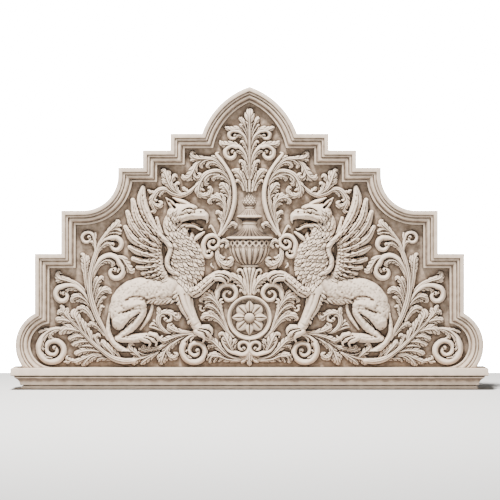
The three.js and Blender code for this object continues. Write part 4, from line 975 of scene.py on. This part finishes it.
def base_course(material):
    """The moulded course under the panel, returned at both ends and plain at the back."""
    rings = []
    half = BASE_HIGH[0]
    for height, back in BASE_SECTION:
        x = half - back * MM
        y = FRONT + back * MM
        z = height * MM
        rings.append([(-x, y, z), (x, y, z), (x, BACK, z), (-x, BACK, z)])
    points = np.array(rings).reshape(-1, 3)
    last = len(points) - 4
    caps = [[3, 2, 1, 0], [last, last + 1, last + 2, last + 3]]
    quads = np.concatenate([rings_to_quads(len(rings), 4), caps])
    # painted shade on the lower arrises of the base course, a little less than on the frame
    shade_level = np.repeat(section_painted_shade([(height, -back) for height, back in BASE_SECTION]) - 0.07, 4)
    base = new_object("base_course", points, quads, sharp=32, painted_shade=shade_level)
    finish_piece(base, material)
    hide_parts("base_moulding")
    return base


LEAF_FULLNESS = (1.0, 1.22, 1.26)   # a leaf's width against its drawn line, at its root, middle and tip


def carver(relief, side=1):
    """The strokes that the drawing uses, on one height sheet: a leaf, which is left plain where it is too
    small to have lobes, a scroll band that winds to an eye, a smooth ridge, and a drilled eye."""

    def rib(lift, *points):
        along = np.linspace(0, 1, len(points))
        fuller = np.interp(along, [0, 0.5, 1], LEAF_FULLNESS)
        placed = [(side * x, z, w * k) for (x, z, w), k in zip(points, fuller)]
        run = sum(np.hypot(b[0] - a[0], b[1] - a[1]) for a, b in zip(placed[:-1], placed[1:]))
        if run > 6 and max(w for _, _, w in placed) >= 1.7:
            relief.blade(placed, 0.2 + lift * 2.6)
        else:
            relief.stroke(placed, 0.2 + lift * 2.2, lambda w: 1.4 + 1.6 * w, rounded)

    def volute(lift, lead, centre, radii, angles, widths):
        count = int(abs(angles[1] - angles[0]) / 20) + 2
        t = np.linspace(0, 1, count)
        a = np.radians(angles[0] + (angles[1] - angles[0]) * t)
        r = radii[0] + (radii[1] - radii[0]) * t
        w = widths[0] + (widths[1] - widths[0]) * t
        band = [*lead, *zip(centre[0] + r * np.cos(a), centre[1] + r * np.sin(a), w)]
        relief.spiral([(side * x, z, w * 1.16) for x, z, w in band], 0.2 + lift * 2.6, rounded)

    def ridge(lift, *points):
        relief.stroke([(side * x, z, w) for x, z, w in points], lift, lambda w: 1.4 + 1.6 * w, rounded)

    def drill(x, z, radius, depth=2.6):
        relief.drill(side * x, z, radius, depth)

    return rib, volute, ridge, drill


CARVED = []                         # each height sheet that has been carved, with the sides that it stands on


def pair(name, relief, material, painted_darkness):
    """The same carving on both sides of the centre line."""
    CARVED.append((relief, (1, -1)))
    for side, mirror in (("right", False), ("left", True)):
        carved = carved_object(f"{name}_{side}", relief, mirror, painted_shade_of(relief, painted_darkness))
        finish_piece(carved, material)


def griffin_relief(step):
    """The griffin facing left, with its far side hidden in the ground: body, wing, legs, then the head."""
    relief = Relief(12, 38, 146, 206, step)

    def limb(height, *points):
        relief.stroke(points, 0, lambda w: height * np.minimum(1, 0.5 + w / 14), full, blend=1.5)

    def plain(lift, *points):
        relief.stroke(points, lift * 2.2, lambda w: 1.4 + 1.6 * w, rounded)

    def flight(lift, *points):
        relief.stroke(points, lift * 2.2, lambda w: 1.8 + 1.5 * w, feather)

    def plume(x, z, dx, dz, size):
        """One short feather that overlaps what lies under it and ends round."""
        length = np.hypot(dx, dz)
        if length < 3:
            dx, dz = dx * size * 3 / length, dz * size * 3 / length
        line = [(x, z, size * 0.6), (x + dx * 0.5, z + dz * 0.5, size), (x + dx, z + dz, size * 0.4)]
        relief.overlay(line, 0.75 * size)

    def knuckle(x, z, w):
        relief.dome(x, z, w * 0.95, w * 0.95, 3.4, lift=8.6)

    griffin_body(limb)
    limb(8.4, [31, 112.6, 3.6], [26, 110.4, 3])
    wing(limb, flight, plume)
    hind_leg(limb)
    griffin_muscles(relief)
    wing_edge(limb)
    griffin_forelegs(limb)
    griffin_head(limb)
    griffin_feathers(plume)
    griffin_face(relief, limb)
    fur_fringes(plain)
    griffin_claws(plain, knuckle)
    foreleg_lines(relief)
    paw_lines(relief)
    stipple = blurred(np.random.default_rng(3).standard_normal(relief.h.shape), 0.75 / relief.step)
    furred = np.clip((relief.x[None, :] - 72) / 18, 0, 1) * (relief.h > 3)
    relief.h -= 0.3 * furred * np.clip(stipple / stipple.std(), -1, 2)
    return relief


def within(x, z, outline):
    """Which points of a grid lie inside a closed outline."""
    gx, gz = np.meshgrid(x, z)
    inside = np.zeros(gx.shape, dtype=bool)
    for (x0, z0), (x1, z1) in zip(outline, np.roll(outline, -1, axis=0)):
        if z0 != z1:
            crosses = (z0 > gz) != (z1 > gz)
            inside ^= crosses & (gx < x0 + (gz - z0) * (x1 - x0) / (z1 - z0))
    return inside


def tooled_ground(step, material):
    """The sunk ground between the carving, left a little uneven by the chisel. It gets painted shade where the
    carving or the frame rises from it, and a painted bounce light near the base course."""
    low = BED / SQUARE + 0.03
    relief = Relief(-222, low - 20 * step, 222, 290, step)
    inside = within(relief.x, relief.z, panel_outline(46) / 4)
    above = relief.z[:, None] > low - 0.01
    around = np.where(inside | ~above, 0.0, 9.0)
    inside &= above
    for carving, sides in CARVED:
        for side in sides:
            i = np.rint((side * relief.x - carving.x[0]) / carving.step).astype(int)
            j = np.rint((relief.z - carving.z[0]) / carving.step).astype(int)
            columns = (i >= 0) & (i < len(carving.x))
            rows = (j >= 0) & (j < len(carving.z))
            patch = np.ix_(rows, columns)
            around[patch] = np.maximum(around[patch], carving.h[np.ix_(j[rows], i[columns])])
    chisel = np.random.default_rng(11).standard_normal((2, *inside.shape))
    uneven = sum(blurred(sheet, size) / blurred(sheet, size).std() for sheet, size in zip(chisel, (0.9, 3.2)))
    relief.h = np.where(inside, 0.28 + 0.06 * uneven, FLOOR)
    # painted shade on the ground where the carving or the frame rises from it
    shade_level = blurred(around, 1.0 / relief.step) / 14 + blurred(around, 4 / relief.step) / 40
    # painted bounce light: the ground is lighter near the base course
    painted_bounce_light = 0.14 * np.exp(-np.maximum(relief.z[:, None] - low, 0) / 2.5)
    ground = carved_object("tooled_ground", relief, painted_shade=np.clip(0.31 + shade_level - painted_bounce_light, 0, 0.95))
    return finish_piece(ground, material)


def loft(rings, name, sharp=45.0, painted_shade=None):
    """Skins a stack of closed rings of points into one body, with flat caps, turned to face outward."""
    rings = np.asarray(rings, dtype=float)
    count = rings.shape[1]
    points = rings.reshape(-1, 3)
    quads = rings_to_quads(len(rings), count)
    first = np.arange(count)
    last = first + (len(rings) - 1) * count
    fans = [[ring[0], ring[k], ring[k + 1]] for ring in (first[::-1], last) for k in range(1, count - 1)]
    a, b, c = (points[quads[:, k]] for k in range(3))
    middle = points.mean(axis=0)
    if (np.cross(b - a, c - a) * (a - middle)).sum() < 0:
        quads = quads[:, ::-1]
        fans = [fan[::-1] for fan in fans]
    shade_level = np.full(len(points), EVEN) if painted_shade is None else np.ravel(painted_shade)
    return new_object(name, points, quads, fans, sharp=sharp, painted_shade=shade_level)


def ring_of_pieces():
    """A node tree that repeats the piece it is given round an axis, flattens the ring and moves it to its
    place."""
    tree = bpy.data.node_groups.new("ring_of_pieces", "GeometryNodeTree")
    sockets = (("Geometry", "Geometry"), ("Count", "Int"), ("Axis", "Vector"), ("Start", "Float"),
               ("Flatten", "Vector"), ("Centre", "Vector"), ("Stone", "Material"))
    for name, kind in sockets:
        tree.interface.new_socket(name, in_out="INPUT", socket_type="NodeSocket" + kind)
    tree.interface.new_socket("Geometry", in_out="OUTPUT", socket_type="NodeSocketGeometry")
    nodes = tree.nodes
    given = add(nodes, "NodeGroupInput").outputs
    points = add(nodes, "GeometryNodePoints", [(given["Count"], "Count")])
    step = add(nodes, "ShaderNodeMath", [(given["Count"], 1)], operation="DIVIDE")
    step.inputs[0].default_value = 2 * np.pi
    index = add(nodes, "GeometryNodeInputIndex")
    angle = add(nodes, "ShaderNodeMath", [(index.outputs[0], 0), (step.outputs[0], 1), (given["Start"], 2)],
                operation="MULTIPLY_ADD")
    turn = add(nodes, "ShaderNodeVectorMath", [(given["Axis"], 0), (angle.outputs[0], 3)], operation="SCALE")
    spread = add(nodes, "GeometryNodeInstanceOnPoints",
                 [(points.outputs[0], "Points"), (given["Geometry"], "Instance"),
                  (turn.outputs[0], "Rotation")])
    placed = add(nodes, "GeometryNodeTransform",
                 [(spread.outputs[0], "Geometry"), (given["Centre"], "Translation"),
                  (given["Flatten"], "Scale")])
    whole = add(nodes, "GeometryNodeRealizeInstances", [(placed.outputs[0], "Geometry")])
    finished = add(nodes, "GeometryNodeSetMaterial",
                   [(whole.outputs[0], "Geometry"), (given["Stone"], "Material")])
    add(nodes, "NodeGroupOutput", [(finished.outputs[0], "Geometry")])
    return tree


def repeat_round(piece, count, axis, start, flatten, centre, material):
    """Repeats a piece round an axis with the node tree, and keeps the result as a plain mesh."""
    tree = bpy.data.node_groups.get("ring_of_pieces") or ring_of_pieces()
    modifier = piece.modifiers.new("ring", "NODES")
    modifier.node_group = tree
    values = {"Count": count, "Axis": axis, "Start": start, "Flatten": flatten, "Centre": centre,
              "Stone": material}
    for item in tree.interface.items_tree:
        if item.in_out == "INPUT" and item.name in values:
            modifier[item.identifier] = values[item.name]
    evaluated = piece.evaluated_get(bpy.context.evaluated_depsgraph_get())
    result = bpy.data.meshes.new_from_object(evaluated)
    piece.modifiers.remove(modifier)
    piece.data = result
    return finish_piece(piece, material)


# The covered urn, half of a turned vase: [height, radius] in squares
URN_SECTION = [
    (117, 5.4), (121.4, 6.6), (122, 8.8), (122.8, 9.7), (123.8, 9.7), (124.6, 8.8), (125, 9), (127, 12.6),
    (130, 15.3), (133, 17.2), (136, 18.6), (139, 19.5), (141.8, 20), (142.2, 20.8), (145.6, 21.1),
    (149, 21.3), (149.6, 21.2), (150, 22), (150.4, 23.4), (151.2, 23.8), (152, 23.2), (153, 20.6),
    (154.4, 17.8), (156, 15), (158, 11.8), (160, 9.4), (162, 7.8), (164.2, 7), (164.6, 7.2), (165, 7.8),
    (165.8, 8), (166.6, 7.6), (167, 7.2), (168.6, 7.8), (170, 9.6), (171.2, 11.4), (171.8, 12.4),
    (172.4, 12.9), (173.2, 12.6), (174.6, 11), (176.4, 8.9), (178.2, 6.8), (179.6, 5.2), (180.2, 4.4),
    (181, 4.2), (181.6, 4.8), (182.2, 4.8), (182.6, 4.2), (183.2, 4.4), (184, 6), (186, 7.1), (188.4, 7.2),
    (190.4, 6.3), (192.6, 4.7), (195, 2.9), (197, 1.4), (198.2, 0.3),
]
URN_DEPTH = 0.56                    # how far the half vase stands out, against its radius
GADROONS = 20


def urn_body(material):
    """Turns the urn and cuts its lattice band, its flutes and the scales of the cone that crowns it."""
    heights, radii = np.array(URN_SECTION).T
    levels = np.unique(np.concatenate([heights, np.arange(heights[0], heights[-1], 0.5)]).round(3))
    angle = np.radians(np.linspace(-184, 4, 220))
    rings = []
    painted_shade = []
    for z in levels:
        r = np.interp(z, heights, radii)
        cut = np.zeros_like(angle)
        if 142.4 < z < 149.2:
            phase = angle * GADROONS / (2 * np.pi)
            rise = (z - 142.4) / 6.8
            near = np.minimum(np.abs((phase + rise + 0.5) % 1 - 0.5), np.abs((phase - rise + 0.5) % 1 - 0.5))
            cut = np.clip((near - 0.1) / 0.14, 0, 1) * 0.6
        elif 152.6 < z < 164:
            cut = 0.42 * (1 - np.abs(np.sin(angle * 15))) ** 1.6 * np.clip((164 - z) / 6, 0.2, 1)
        elif 173.4 < z < 179.4:
            cut = 0.32 * (1 - np.abs(np.sin(angle * 12))) ** 1.6
        elif 184.4 < z < 196.6:
            phase = angle * 12 / (2 * np.pi)
            rise = (z - 184.4) / 4.2
            near = np.minimum(np.abs((phase + rise + 0.5) % 1 - 0.5), np.abs((phase - rise + 0.5) % 1 - 0.5))
            cut = np.clip((0.16 - near) / 0.16, 0, 1) * 0.8
        radius = r - cut
        x = radius * np.cos(angle) * SQUARE
        y = GROUND + radius * np.sin(angle) * URN_DEPTH * SQUARE
        rings.append(np.stack([x, y, np.full_like(angle, z * SQUARE)], axis=1))
        # painted shade: under the swells, in the cuts, and at the sides where the half vase turns into the
        # ground
        below = np.interp([z - 1.6, z + 1.6], heights, radii).max() - r
        turned_edge_shade = 0.34 * (1 - np.abs(np.sin(angle))) ** 2
        painted_shade.append(np.clip(EVEN - 0.14 + cut * 0.8 + turned_edge_shade + np.clip(below, 0, 3) * 0.18, 0, 0.9))
    finish_piece(loft(rings, "urn", sharp=50, painted_shade=painted_shade), material)


def urn_gadroons(material):
    """One gadroon that swells up the bowl to a pointed head, repeated round it."""
    heights, radii = np.array(URN_SECTION).T
    rings = []
    for z in np.linspace(125, 142.2, 26):
        r = np.interp(z, heights, radii)
        head = np.sqrt(np.clip((142.3 - z) / 4.4, 0, 1))
        half = np.pi / GADROONS * 0.93 * min(1, head * 1.05)
        u = np.linspace(-1, 1, 11)
        swell = r + (0.35 + 0.9 * head) * np.sqrt(1 - u ** 2) ** 0.8
        front = [(swell[k] * np.sin(half * u[k]), -swell[k] * np.cos(half * u[k]), z) for k in range(11)]
        back = [((r - 1) * np.sin(half * s), -(r - 1) * np.cos(half * s), z) for s in (0.8, -0.8)]
        rings.append(np.array(front + back) * SQUARE)
    # painted shade in the gaps between the gadroons
    across = np.concatenate([np.abs(np.linspace(-1, 1, 11)) ** 3, [1, 1]])
    gadroon = loft(rings, "urn_gadroons", sharp=60, painted_shade=np.tile(EVEN - 0.08 + 0.6 * across, 26))
    repeat_round(gadroon, GADROONS, (0, 0, 1), 0, (1, URN_DEPTH, 1), (0, GROUND, 0), material)


def petal(name, tip, half, notch, crown, material, start):
    """One petal of the rosette with its tip notched or drawn to a point, repeated on the four arms of a
    cross."""
    u = np.linspace(-1, 1, 21)
    rings = []
    painted_shade = []
    for t in np.linspace(0, 1, 24):
        w = half * (0.3 + 0.7 * np.sin(min(t * 1.4, 1) * np.pi / 2)) * np.sqrt(max(1 - t ** 5, 0.002))
        if notch == 0:
            w *= 1 - 0.55 * max(t - 0.5, 0) * 2
        ends = tip - notch * np.exp(-(u / 0.25) ** 2) - 1.2 * u ** 2
        r = 4 + (ends - 4) * t
        height = crown * (0.75 + 0.25 * np.sin(t * np.pi)) * (1 - 0.55 * np.abs(u) ** 3)
        midrib = 0.8 * np.sin(t * np.pi) * np.exp(-(u / 0.14) ** 2)
        creases = 0.4 * np.sin(t * np.pi) * np.exp(-((np.abs(u) - 0.5) / 0.12) ** 2)
        height -= midrib + creases
        front = [(u[k] * w * SQUARE, -height[k] * SQUARE, r[k] * SQUARE) for k in range(21)]
        rings.append(front + [(w * SQUARE, 0.003, r[-1] * SQUARE), (-w * SQUARE, 0.003, r[0] * SQUARE)])
        # painted shade at the root, along the edges and the midrib of each petal, and dark on its hidden back
        root = 0.6 * max(0.25 - t, 0) * 4
        shade_level = np.clip(0.1 + 0.8 * np.abs(u) ** 4 + 0.5 * np.exp(-(u / 0.14) ** 2) + root, 0, 0.85)
        painted_shade.append(np.concatenate([shade_level, [0.9, 0.9]]))
    piece = loft(rings, name, sharp=60, painted_shade=painted_shade)
    repeat_round(piece, 4, (0, 1, 0), start, (1, 1, 1), (0, GROUND, ROSETTE[0] * SQUARE), material)


ROSETTE = (71.6, 22.2, 17.8)        # centre height, outer and inner radius of the roll, in squares


def rosette(material):
    """The roll moulding, the petals and the boss in the middle."""
    z, outer, inner = ROSETTE
    section = [(inner, -1), (inner + 0.1, 2.6), (inner + 0.5, 3.3), (inner + 1.1, 3.3), (inner + 1.4, 3.6),
               (inner + 1.8, 4.8), (inner + 2.6, 5.7), (inner + 3.5, 5.9), (inner + 4.3, 5.2), (outer, 3.6),
               (outer, -1)]
    angle = np.linspace(0, 2 * np.pi, 145)[:-1]
    points = np.array([[(r * np.cos(a) * SQUARE, GROUND - h * SQUARE, (z + r * np.sin(a)) * SQUARE)
                        for r, h in section] for a in angle])
    count = len(section)
    i, j = np.meshgrid(np.arange(len(angle)), np.arange(count), indexing="ij")
    along = (i + 1) % len(angle)
    across = (j + 1) % count
    quads = np.stack([i * count + j, along * count + j, along * count + across, i * count + across], axis=-1)
    # painted shade on the roll moulding: dark in its hollow arrises, light on its crest
    dark = np.tile([0.9, 0.6, 0.35, 0.2, 0.45, 0.1, 0, 0, 0.05, 0.4, 0.8], len(angle))
    ring = new_object("rosette_ring", points.reshape(-1, 3), quads.reshape(-1, 4)[:, ::-1], sharp=50,
                      painted_shade=dark)
    finish_piece(ring, material)
    petal("rosette_broad_petals", 17, 7.6, 2, 4.2, material, np.pi / 4)
    petal("rosette_pointed_petals", 17.8, 6.2, 0, 5.1, material, 0)
    profile = [(5.2 * np.cos(a), 3 + 4.2 * np.sin(a)) for a in np.linspace(0, np.pi / 2 - 0.02, 14)]
    turn = np.linspace(0, 2 * np.pi, 49)[:-1]
    dish = [[(r * SQUARE * np.cos(a), GROUND - h * SQUARE, (z + r * np.sin(a)) * SQUARE) for a in turn]
            for r, h in ((inner + 0.5, -0.4), (inner + 0.5, 0.6), (inner - 1, 0.5), (0.5, 0.5))]
    # painted shade in the dish round the boss
    dark = np.repeat([0.6, 0.5, 0.36, 0.34], len(turn))
    finish_piece(loft(dish, "rosette_dish", sharp=60, painted_shade=dark), material)
    rings = [[(5.2 * SQUARE * np.cos(a), GROUND, (z - 0.5 + 5.2 * np.sin(a)) * SQUARE) for a in turn]]
    rings += [[(r * SQUARE * np.cos(a), GROUND - h * SQUARE,
                (z - 0.5 + r * np.sin(a)) * SQUARE) for a in turn]
              for r, h in profile]
    boss = loft(rings, "rosette_boss", sharp=60)
    finish_piece(boss, material)


# Stone

def linear(hex_colour):
    """An sRGB hex value as linear red, green, blue and alpha."""
    parts = [int(hex_colour[i:i + 2], 16) / 255 for i in (1, 3, 5)]
    return [p / 12.92 if p <= 0.04045 else ((p + 0.055) / 1.055) ** 2.4 for p in parts] + [1.0]


def add(nodes, kind, links=(), **settings):
    """Adds a shader node, sets its properties or input values by name, and links sockets to its inputs."""
    node = nodes.new(kind)
    for key, value in settings.items():
        if hasattr(node, key):
            setattr(node, key, value)
        else:
            node.inputs[key.replace("_", " ")].default_value = value
    for socket, target in links:
        node.id_data.links.new(socket, node.inputs[target])
    return node


def limestone(name, colours, grain_mm, stain_mm):
    """Limestone, cut with chisels and rubbed smooth. It has an open fine grain that never shines. Its crests
    carry a painted highlight, its faces a thin brown patina with a painted mid-tone shade, and its recesses a
    dark brown painted shade."""
    material = bpy.data.materials.new(name)
    material.use_nodes = True
    nodes = material.node_tree.nodes
    nodes.clear()
    place = add(nodes, "ShaderNodeTexCoord").outputs["Object"]
    grain = add(nodes, "ShaderNodeTexNoise", [(place, "Vector")], Scale=1 / (grain_mm * MM), Detail=3.0)
    patch = add(nodes, "ShaderNodeTexNoise", [(place, "Vector")], Scale=12 / (stain_mm * MM), Detail=4.0)
    stain = add(nodes, "ShaderNodeTexNoise", [(place, "Vector")], Scale=1 / (stain_mm * MM), Detail=5.0)
    painted_shade = add(nodes, "ShaderNodeAttribute", attribute_name="painted_shade").outputs["Fac"]

    uneven = stretched(nodes, patch.outputs["Fac"], 0.3, 0.7, -0.06, 0.06)
    # the painted shade level of the surface, with a random tone added
    shade_level = add(nodes, "ShaderNodeMath", [(painted_shade, 0), (uneven, 1)], operation="ADD").outputs[0]
    # painted highlight colour on the crests, blending to the patina colour of the faces
    highlight_to_patina = add(nodes, "ShaderNodeMix", [(stretched(nodes, shade_level, 0.0, 0.4, 0, 1), 0)], data_type="RGBA")
    highlight_to_patina.inputs[6].default_value = colours.crest_highlight
    highlight_to_patina.inputs[7].default_value = colours.face
    # painted shade colour in the recesses
    painted_darkness = add(nodes, "ShaderNodeMix",
               [(stretched(nodes, shade_level, 0.28, 0.64, 0, 1), 0), (highlight_to_patina.outputs[2], 6)],
               data_type="RGBA")
    painted_darkness.inputs[7].default_value = colours.pit
    worn = add(nodes, "ShaderNodeVectorMath",
               [(painted_darkness.outputs[2], 0), (stretched(nodes, stain.outputs["Fac"], 0.35, 0.65, 0.93, 1.0), 1)],
               operation="MULTIPLY")
    colour = add(nodes, "ShaderNodeVectorMath",
                 [(worn.outputs[0], 0), (stretched(nodes, grain.outputs["Fac"], 0.3, 0.7, 0.93, 1.03), 1)],
                 operation="MULTIPLY")
    bump = add(nodes, "ShaderNodeBump", [(grain.outputs["Fac"], "Height")], Strength=0.35, Distance=0.0006)
    stone = add(nodes, "ShaderNodeBsdfPrincipled",
                [(colour.outputs[0], "Base Color"), (bump.outputs[0], "Normal")],
                Roughness=0.9, IOR=1.5)
    stone.inputs["Specular IOR Level"].default_value = 0.25
    add(nodes, "ShaderNodeOutputMaterial", [(stone.outputs[0], "Surface")])
    return material


def stretched(nodes, socket, low, high, at_low, at_high):
    """Maps one range of values to another and holds them inside it."""
    node = add(nodes, "ShaderNodeMapRange", [(socket, "Value")])
    for name, value in (("From Min", low), ("From Max", high), ("To Min", at_low), ("To Max", at_high)):
        node.inputs[name].default_value = value
    return node.outputs[0]


# Stage

def pale_floor(colour):
    """A flat floor of matt white board."""
    material = bpy.data.materials.new("matt_white_board")
    material.use_nodes = True
    shader = material.node_tree.nodes["Principled BSDF"]
    shader.inputs["Base Color"].default_value = colour
    shader.inputs["Roughness"].default_value = 1.0
    shader.inputs["Specular IOR Level"].default_value = 0.0
    half, front, back = 6.0, -7.0, 1.2
    corners = [(-half, front, 0), (half, front, 0), (half, back, 0), (-half, back, 0)]
    floor = new_object("floor", corners, [[0, 1, 2, 3]])
    floor.data.materials.append(material)


def white_surround(glow, seen):
    """A weak even light from all round, which the camera sees as a bright white studio."""
    world = bpy.data.worlds.new("studio")
    world.use_nodes = True
    nodes = world.node_tree.nodes
    nodes.clear()
    camera_ray = add(nodes, "ShaderNodeLightPath").outputs["Is Camera Ray"]
    strength = stretched(nodes, camera_ray, 0, 1, glow, seen)
    light = add(nodes, "ShaderNodeBackground", [(strength, "Strength")])
    light.inputs["Color"].default_value = (1, 1, 1, 1)
    add(nodes, "ShaderNodeOutputWorld", [(light.outputs[0], "Surface")])
    bpy.context.scene.world = world


def lamp(name, place, target, size, watts, colour):
    """A soft rectangular lamp that points at a target."""
    light = bpy.data.lights.new(name, "AREA")
    light.shape = "RECTANGLE"
    light.size, light.size_y = size
    light.energy = watts
    light.color = colour
    piece = bpy.data.objects.new(name, light)
    piece.location = place
    piece.rotation_euler = (Vector(target) - Vector(place)).to_track_quat("-Z", "Y").to_euler()
    bpy.context.scene.collection.objects.link(piece)


def studio_camera(distance, width, centre):
    """Square on to the front, as the photograph is taken, from far enough off to keep the verticals true."""
    camera = bpy.data.cameras.new("camera")
    camera.sensor_width = 36
    camera.lens = 36 * distance / width
    piece = bpy.data.objects.new("camera", camera)
    piece.location = (centre[0], GROUND - distance, centre[1])
    piece.rotation_euler = (np.pi / 2, 0, 0)
    bpy.context.scene.collection.objects.link(piece)
    bpy.context.scene.camera = piece


# Add-on

class PedimentSizes(PropertyGroup):
    relief_step: FloatProperty(
        name="Relief spacing", description="Spacing of the carved surface, in squares of 4 mm",
        default=0.4, min=0.2, max=1.2)
    ground_step: FloatProperty(
        name="Ground spacing", description="Spacing of the tooled ground, in squares of 4 mm",
        default=1.25, min=0.6, max=3)
    grain: FloatProperty(
        name="Grain", description="Width of the stone's grain, in millimetres", default=1.6, min=0.2, max=10)
    stain: FloatProperty(
        name="Stain", description="Width of the weather stains, in millimetres", default=240, min=20,
        max=2000)


class PedimentColours(PropertyGroup):
    # painted highlight colour for the crests
    crest_highlight: FloatVectorProperty(
        name="Crests", description="Clean stone on the crests of the carving", subtype="COLOR", size=4,
        default=linear("#E4D1BE"), min=0, max=1)
    # the patina colour of the faces, also their painted mid-tone shade
    face: FloatVectorProperty(
        name="Faces", description="Stone under a thin brown patina", subtype="COLOR", size=4,
        default=linear("#917D6B"), min=0, max=1)
    # painted shade colour for the recesses
    pit: FloatVectorProperty(
        name="Pits", description="Dirt held in the recesses", subtype="COLOR", size=4,
        default=linear("#2C231D"), min=0, max=1)
    floor: FloatVectorProperty(
        name="Floor", description="Floor and backdrop", subtype="COLOR", size=4,
        default=linear("#F4F3F1"), min=0, max=1)


class PEDIMENT_OT_stone(Operator):
    """Mix the stone of the panel and of the base course"""

    bl_idname = "pediment.stone"
    bl_label = "Limestone"

    def execute(self, context):
        sizes = context.scene.pediment_sizes
        colours = context.scene.pediment_colours
        limestone("limestone_carved", colours, sizes.grain, sizes.stain)
        limestone("limestone_run", colours, sizes.grain, 1.4 * sizes.stain)
        return {"FINISHED"}


class PEDIMENT_OT_slab(Operator):
    """Cut the slab and run its frame moulding"""

    bl_idname = "pediment.slab"
    bl_label = "Slab and frame moulding"

    def execute(self, context):
        framed_slab(bpy.data.materials["limestone_carved"])
        return {"FINISHED"}


class PEDIMENT_OT_base(Operator):
    """Run the moulded base course"""

    bl_idname = "pediment.base"
    bl_label = "Base course"

    def execute(self, context):
        base_course(bpy.data.materials["limestone_run"])
        return {"FINISHED"}


class PEDIMENT_OT_griffins(Operator):
    """Carve the pair of griffins"""

    bl_idname = "pediment.griffins"
    bl_label = "Griffins"

    def execute(self, context):
        relief = griffin_relief(context.scene.pediment_sizes.relief_step)
        # -0.09 gives the griffins less painted shade than the rest of the carving
        pair("griffin", relief, bpy.data.materials["limestone_carved"], -0.09)
        return {"FINISHED"}


class PEDIMENT_OT_scrolls(Operator):
    """Carve the acanthus scrolls on both sides"""

    bl_idname = "pediment.scrolls"
    bl_label = "Acanthus scrolls"

    def execute(self, context):
        # the last number of each sheet is painted shade added over the whole sheet, most on the lower scrolls
        sheets = {
            "lower_scrolls": ((-1, 20, 134, 86), lower_scroll, 0.1),
            "corner_fronds": ((112, 22, 222, 174), outer_fronds, 0.02),
            "upper_scrolls": ((4, 112, 106, 242), upper_fronds, 0.03),
            "rosette_fronds": ((2, 48, 56, 124), rosette_fronds, 0.03),
        }
        for name, (reach, drawing, painted_darkness) in sheets.items():
            relief = Relief(*reach, context.scene.pediment_sizes.relief_step)
            drawing(*carver(relief))
            pair(name, relief, bpy.data.materials["limestone_carved"], painted_darkness)
        return {"FINISHED"}


class PEDIMENT_OT_plume(Operator):
    """Carve the plume, the calyx and the drop on the centre line"""

    bl_idname = "pediment.plume"
    bl_label = "Plume and calyx"

    def execute(self, context):
        relief = Relief(-34, 20, 34, 284, context.scene.pediment_sizes.relief_step)
        for side in (1, -1):
            plume(*carver(relief, side))
        CARVED.append((relief, (1,)))
        # 0.04 more painted shade over the whole plume
        carved = carved_object("plume_and_calyx", relief, painted_shade=painted_shade_of(relief, 0.04))
        finish_piece(carved, bpy.data.materials["limestone_carved"])
        return {"FINISHED"}


class PEDIMENT_OT_urn(Operator):
    """Turn the covered urn and lay its gadroons round the bowl"""

    bl_idname = "pediment.urn"
    bl_label = "Covered urn"

    def execute(self, context):
        urn_body(bpy.data.materials["limestone_carved"])
        urn_gadroons(bpy.data.materials["limestone_carved"])
        return {"FINISHED"}


class PEDIMENT_OT_rosette(Operator):
    """Cut the rosette in its roll moulding"""

    bl_idname = "pediment.rosette"
    bl_label = "Rosette"

    def execute(self, context):
        rosette(bpy.data.materials["limestone_carved"])
        return {"FINISHED"}


class PEDIMENT_OT_ground(Operator):
    """Dress the ground between the carving"""

    bl_idname = "pediment.ground"
    bl_label = "Tooled ground"

    def execute(self, context):
        tooled_ground(context.scene.pediment_sizes.ground_step, bpy.data.materials["limestone_carved"])
        return {"FINISHED"}


class PEDIMENT_OT_stage(Operator):
    """Set the floor, the camera and the lights"""

    bl_idname = "pediment.stage"
    bl_label = "Stage"

    def execute(self, context):
        pale_floor(context.scene.pediment_colours.floor)
        studio_camera(9.0, 2.0, (0.002, 0.557))
        lamp("key", (-0.8, -2.1, 5.0), (0, 0, 0.5), (0.9, 0.9), 920, (1.0, 0.985, 0.965))
        lamp("fill", (1.8, -5.0, 1.4), (0, 0, 0.5), (3.0, 3.0), 16, (1.0, 0.99, 0.98))
        white_surround(0.09, 40.0)
        return {"FINISHED"}


OPERATORS = (
    PEDIMENT_OT_stone, PEDIMENT_OT_slab, PEDIMENT_OT_base, PEDIMENT_OT_griffins, PEDIMENT_OT_scrolls,
    PEDIMENT_OT_plume, PEDIMENT_OT_urn, PEDIMENT_OT_rosette, PEDIMENT_OT_ground, PEDIMENT_OT_stage,
)


class PEDIMENT_PT_sidebar(Panel):
    bl_idname = "PEDIMENT_PT_sidebar"
    bl_label = "Carved pediment"
    bl_space_type = "VIEW_3D"
    bl_region_type = "UI"
    bl_category = "Pediment"

    def draw(self, context):
        for group in (context.scene.pediment_sizes, context.scene.pediment_colours):
            for name in group.bl_rna.properties.keys():
                if name not in {"rna_type", "name"}:
                    self.layout.prop(group, name)
        for operator in OPERATORS:
            self.layout.operator(operator.bl_idname)


CLASSES = (PedimentSizes, PedimentColours) + OPERATORS + (PEDIMENT_PT_sidebar,)


def register():
    for cls in CLASSES:
        bpy.utils.register_class(cls)
    bpy.types.Scene.pediment_sizes = PointerProperty(type=PedimentSizes)
    bpy.types.Scene.pediment_colours = PointerProperty(type=PedimentColours)


def unregister():
    del bpy.types.Scene.pediment_colours
    del bpy.types.Scene.pediment_sizes
    for cls in reversed(CLASSES):
        bpy.utils.unregister_class(cls)


def main():
    register()
    for operator in OPERATORS:
        group, name = operator.bl_idname.split(".")
        getattr(getattr(bpy.ops, group), name)()


if __name__ == "__main__":
    main()
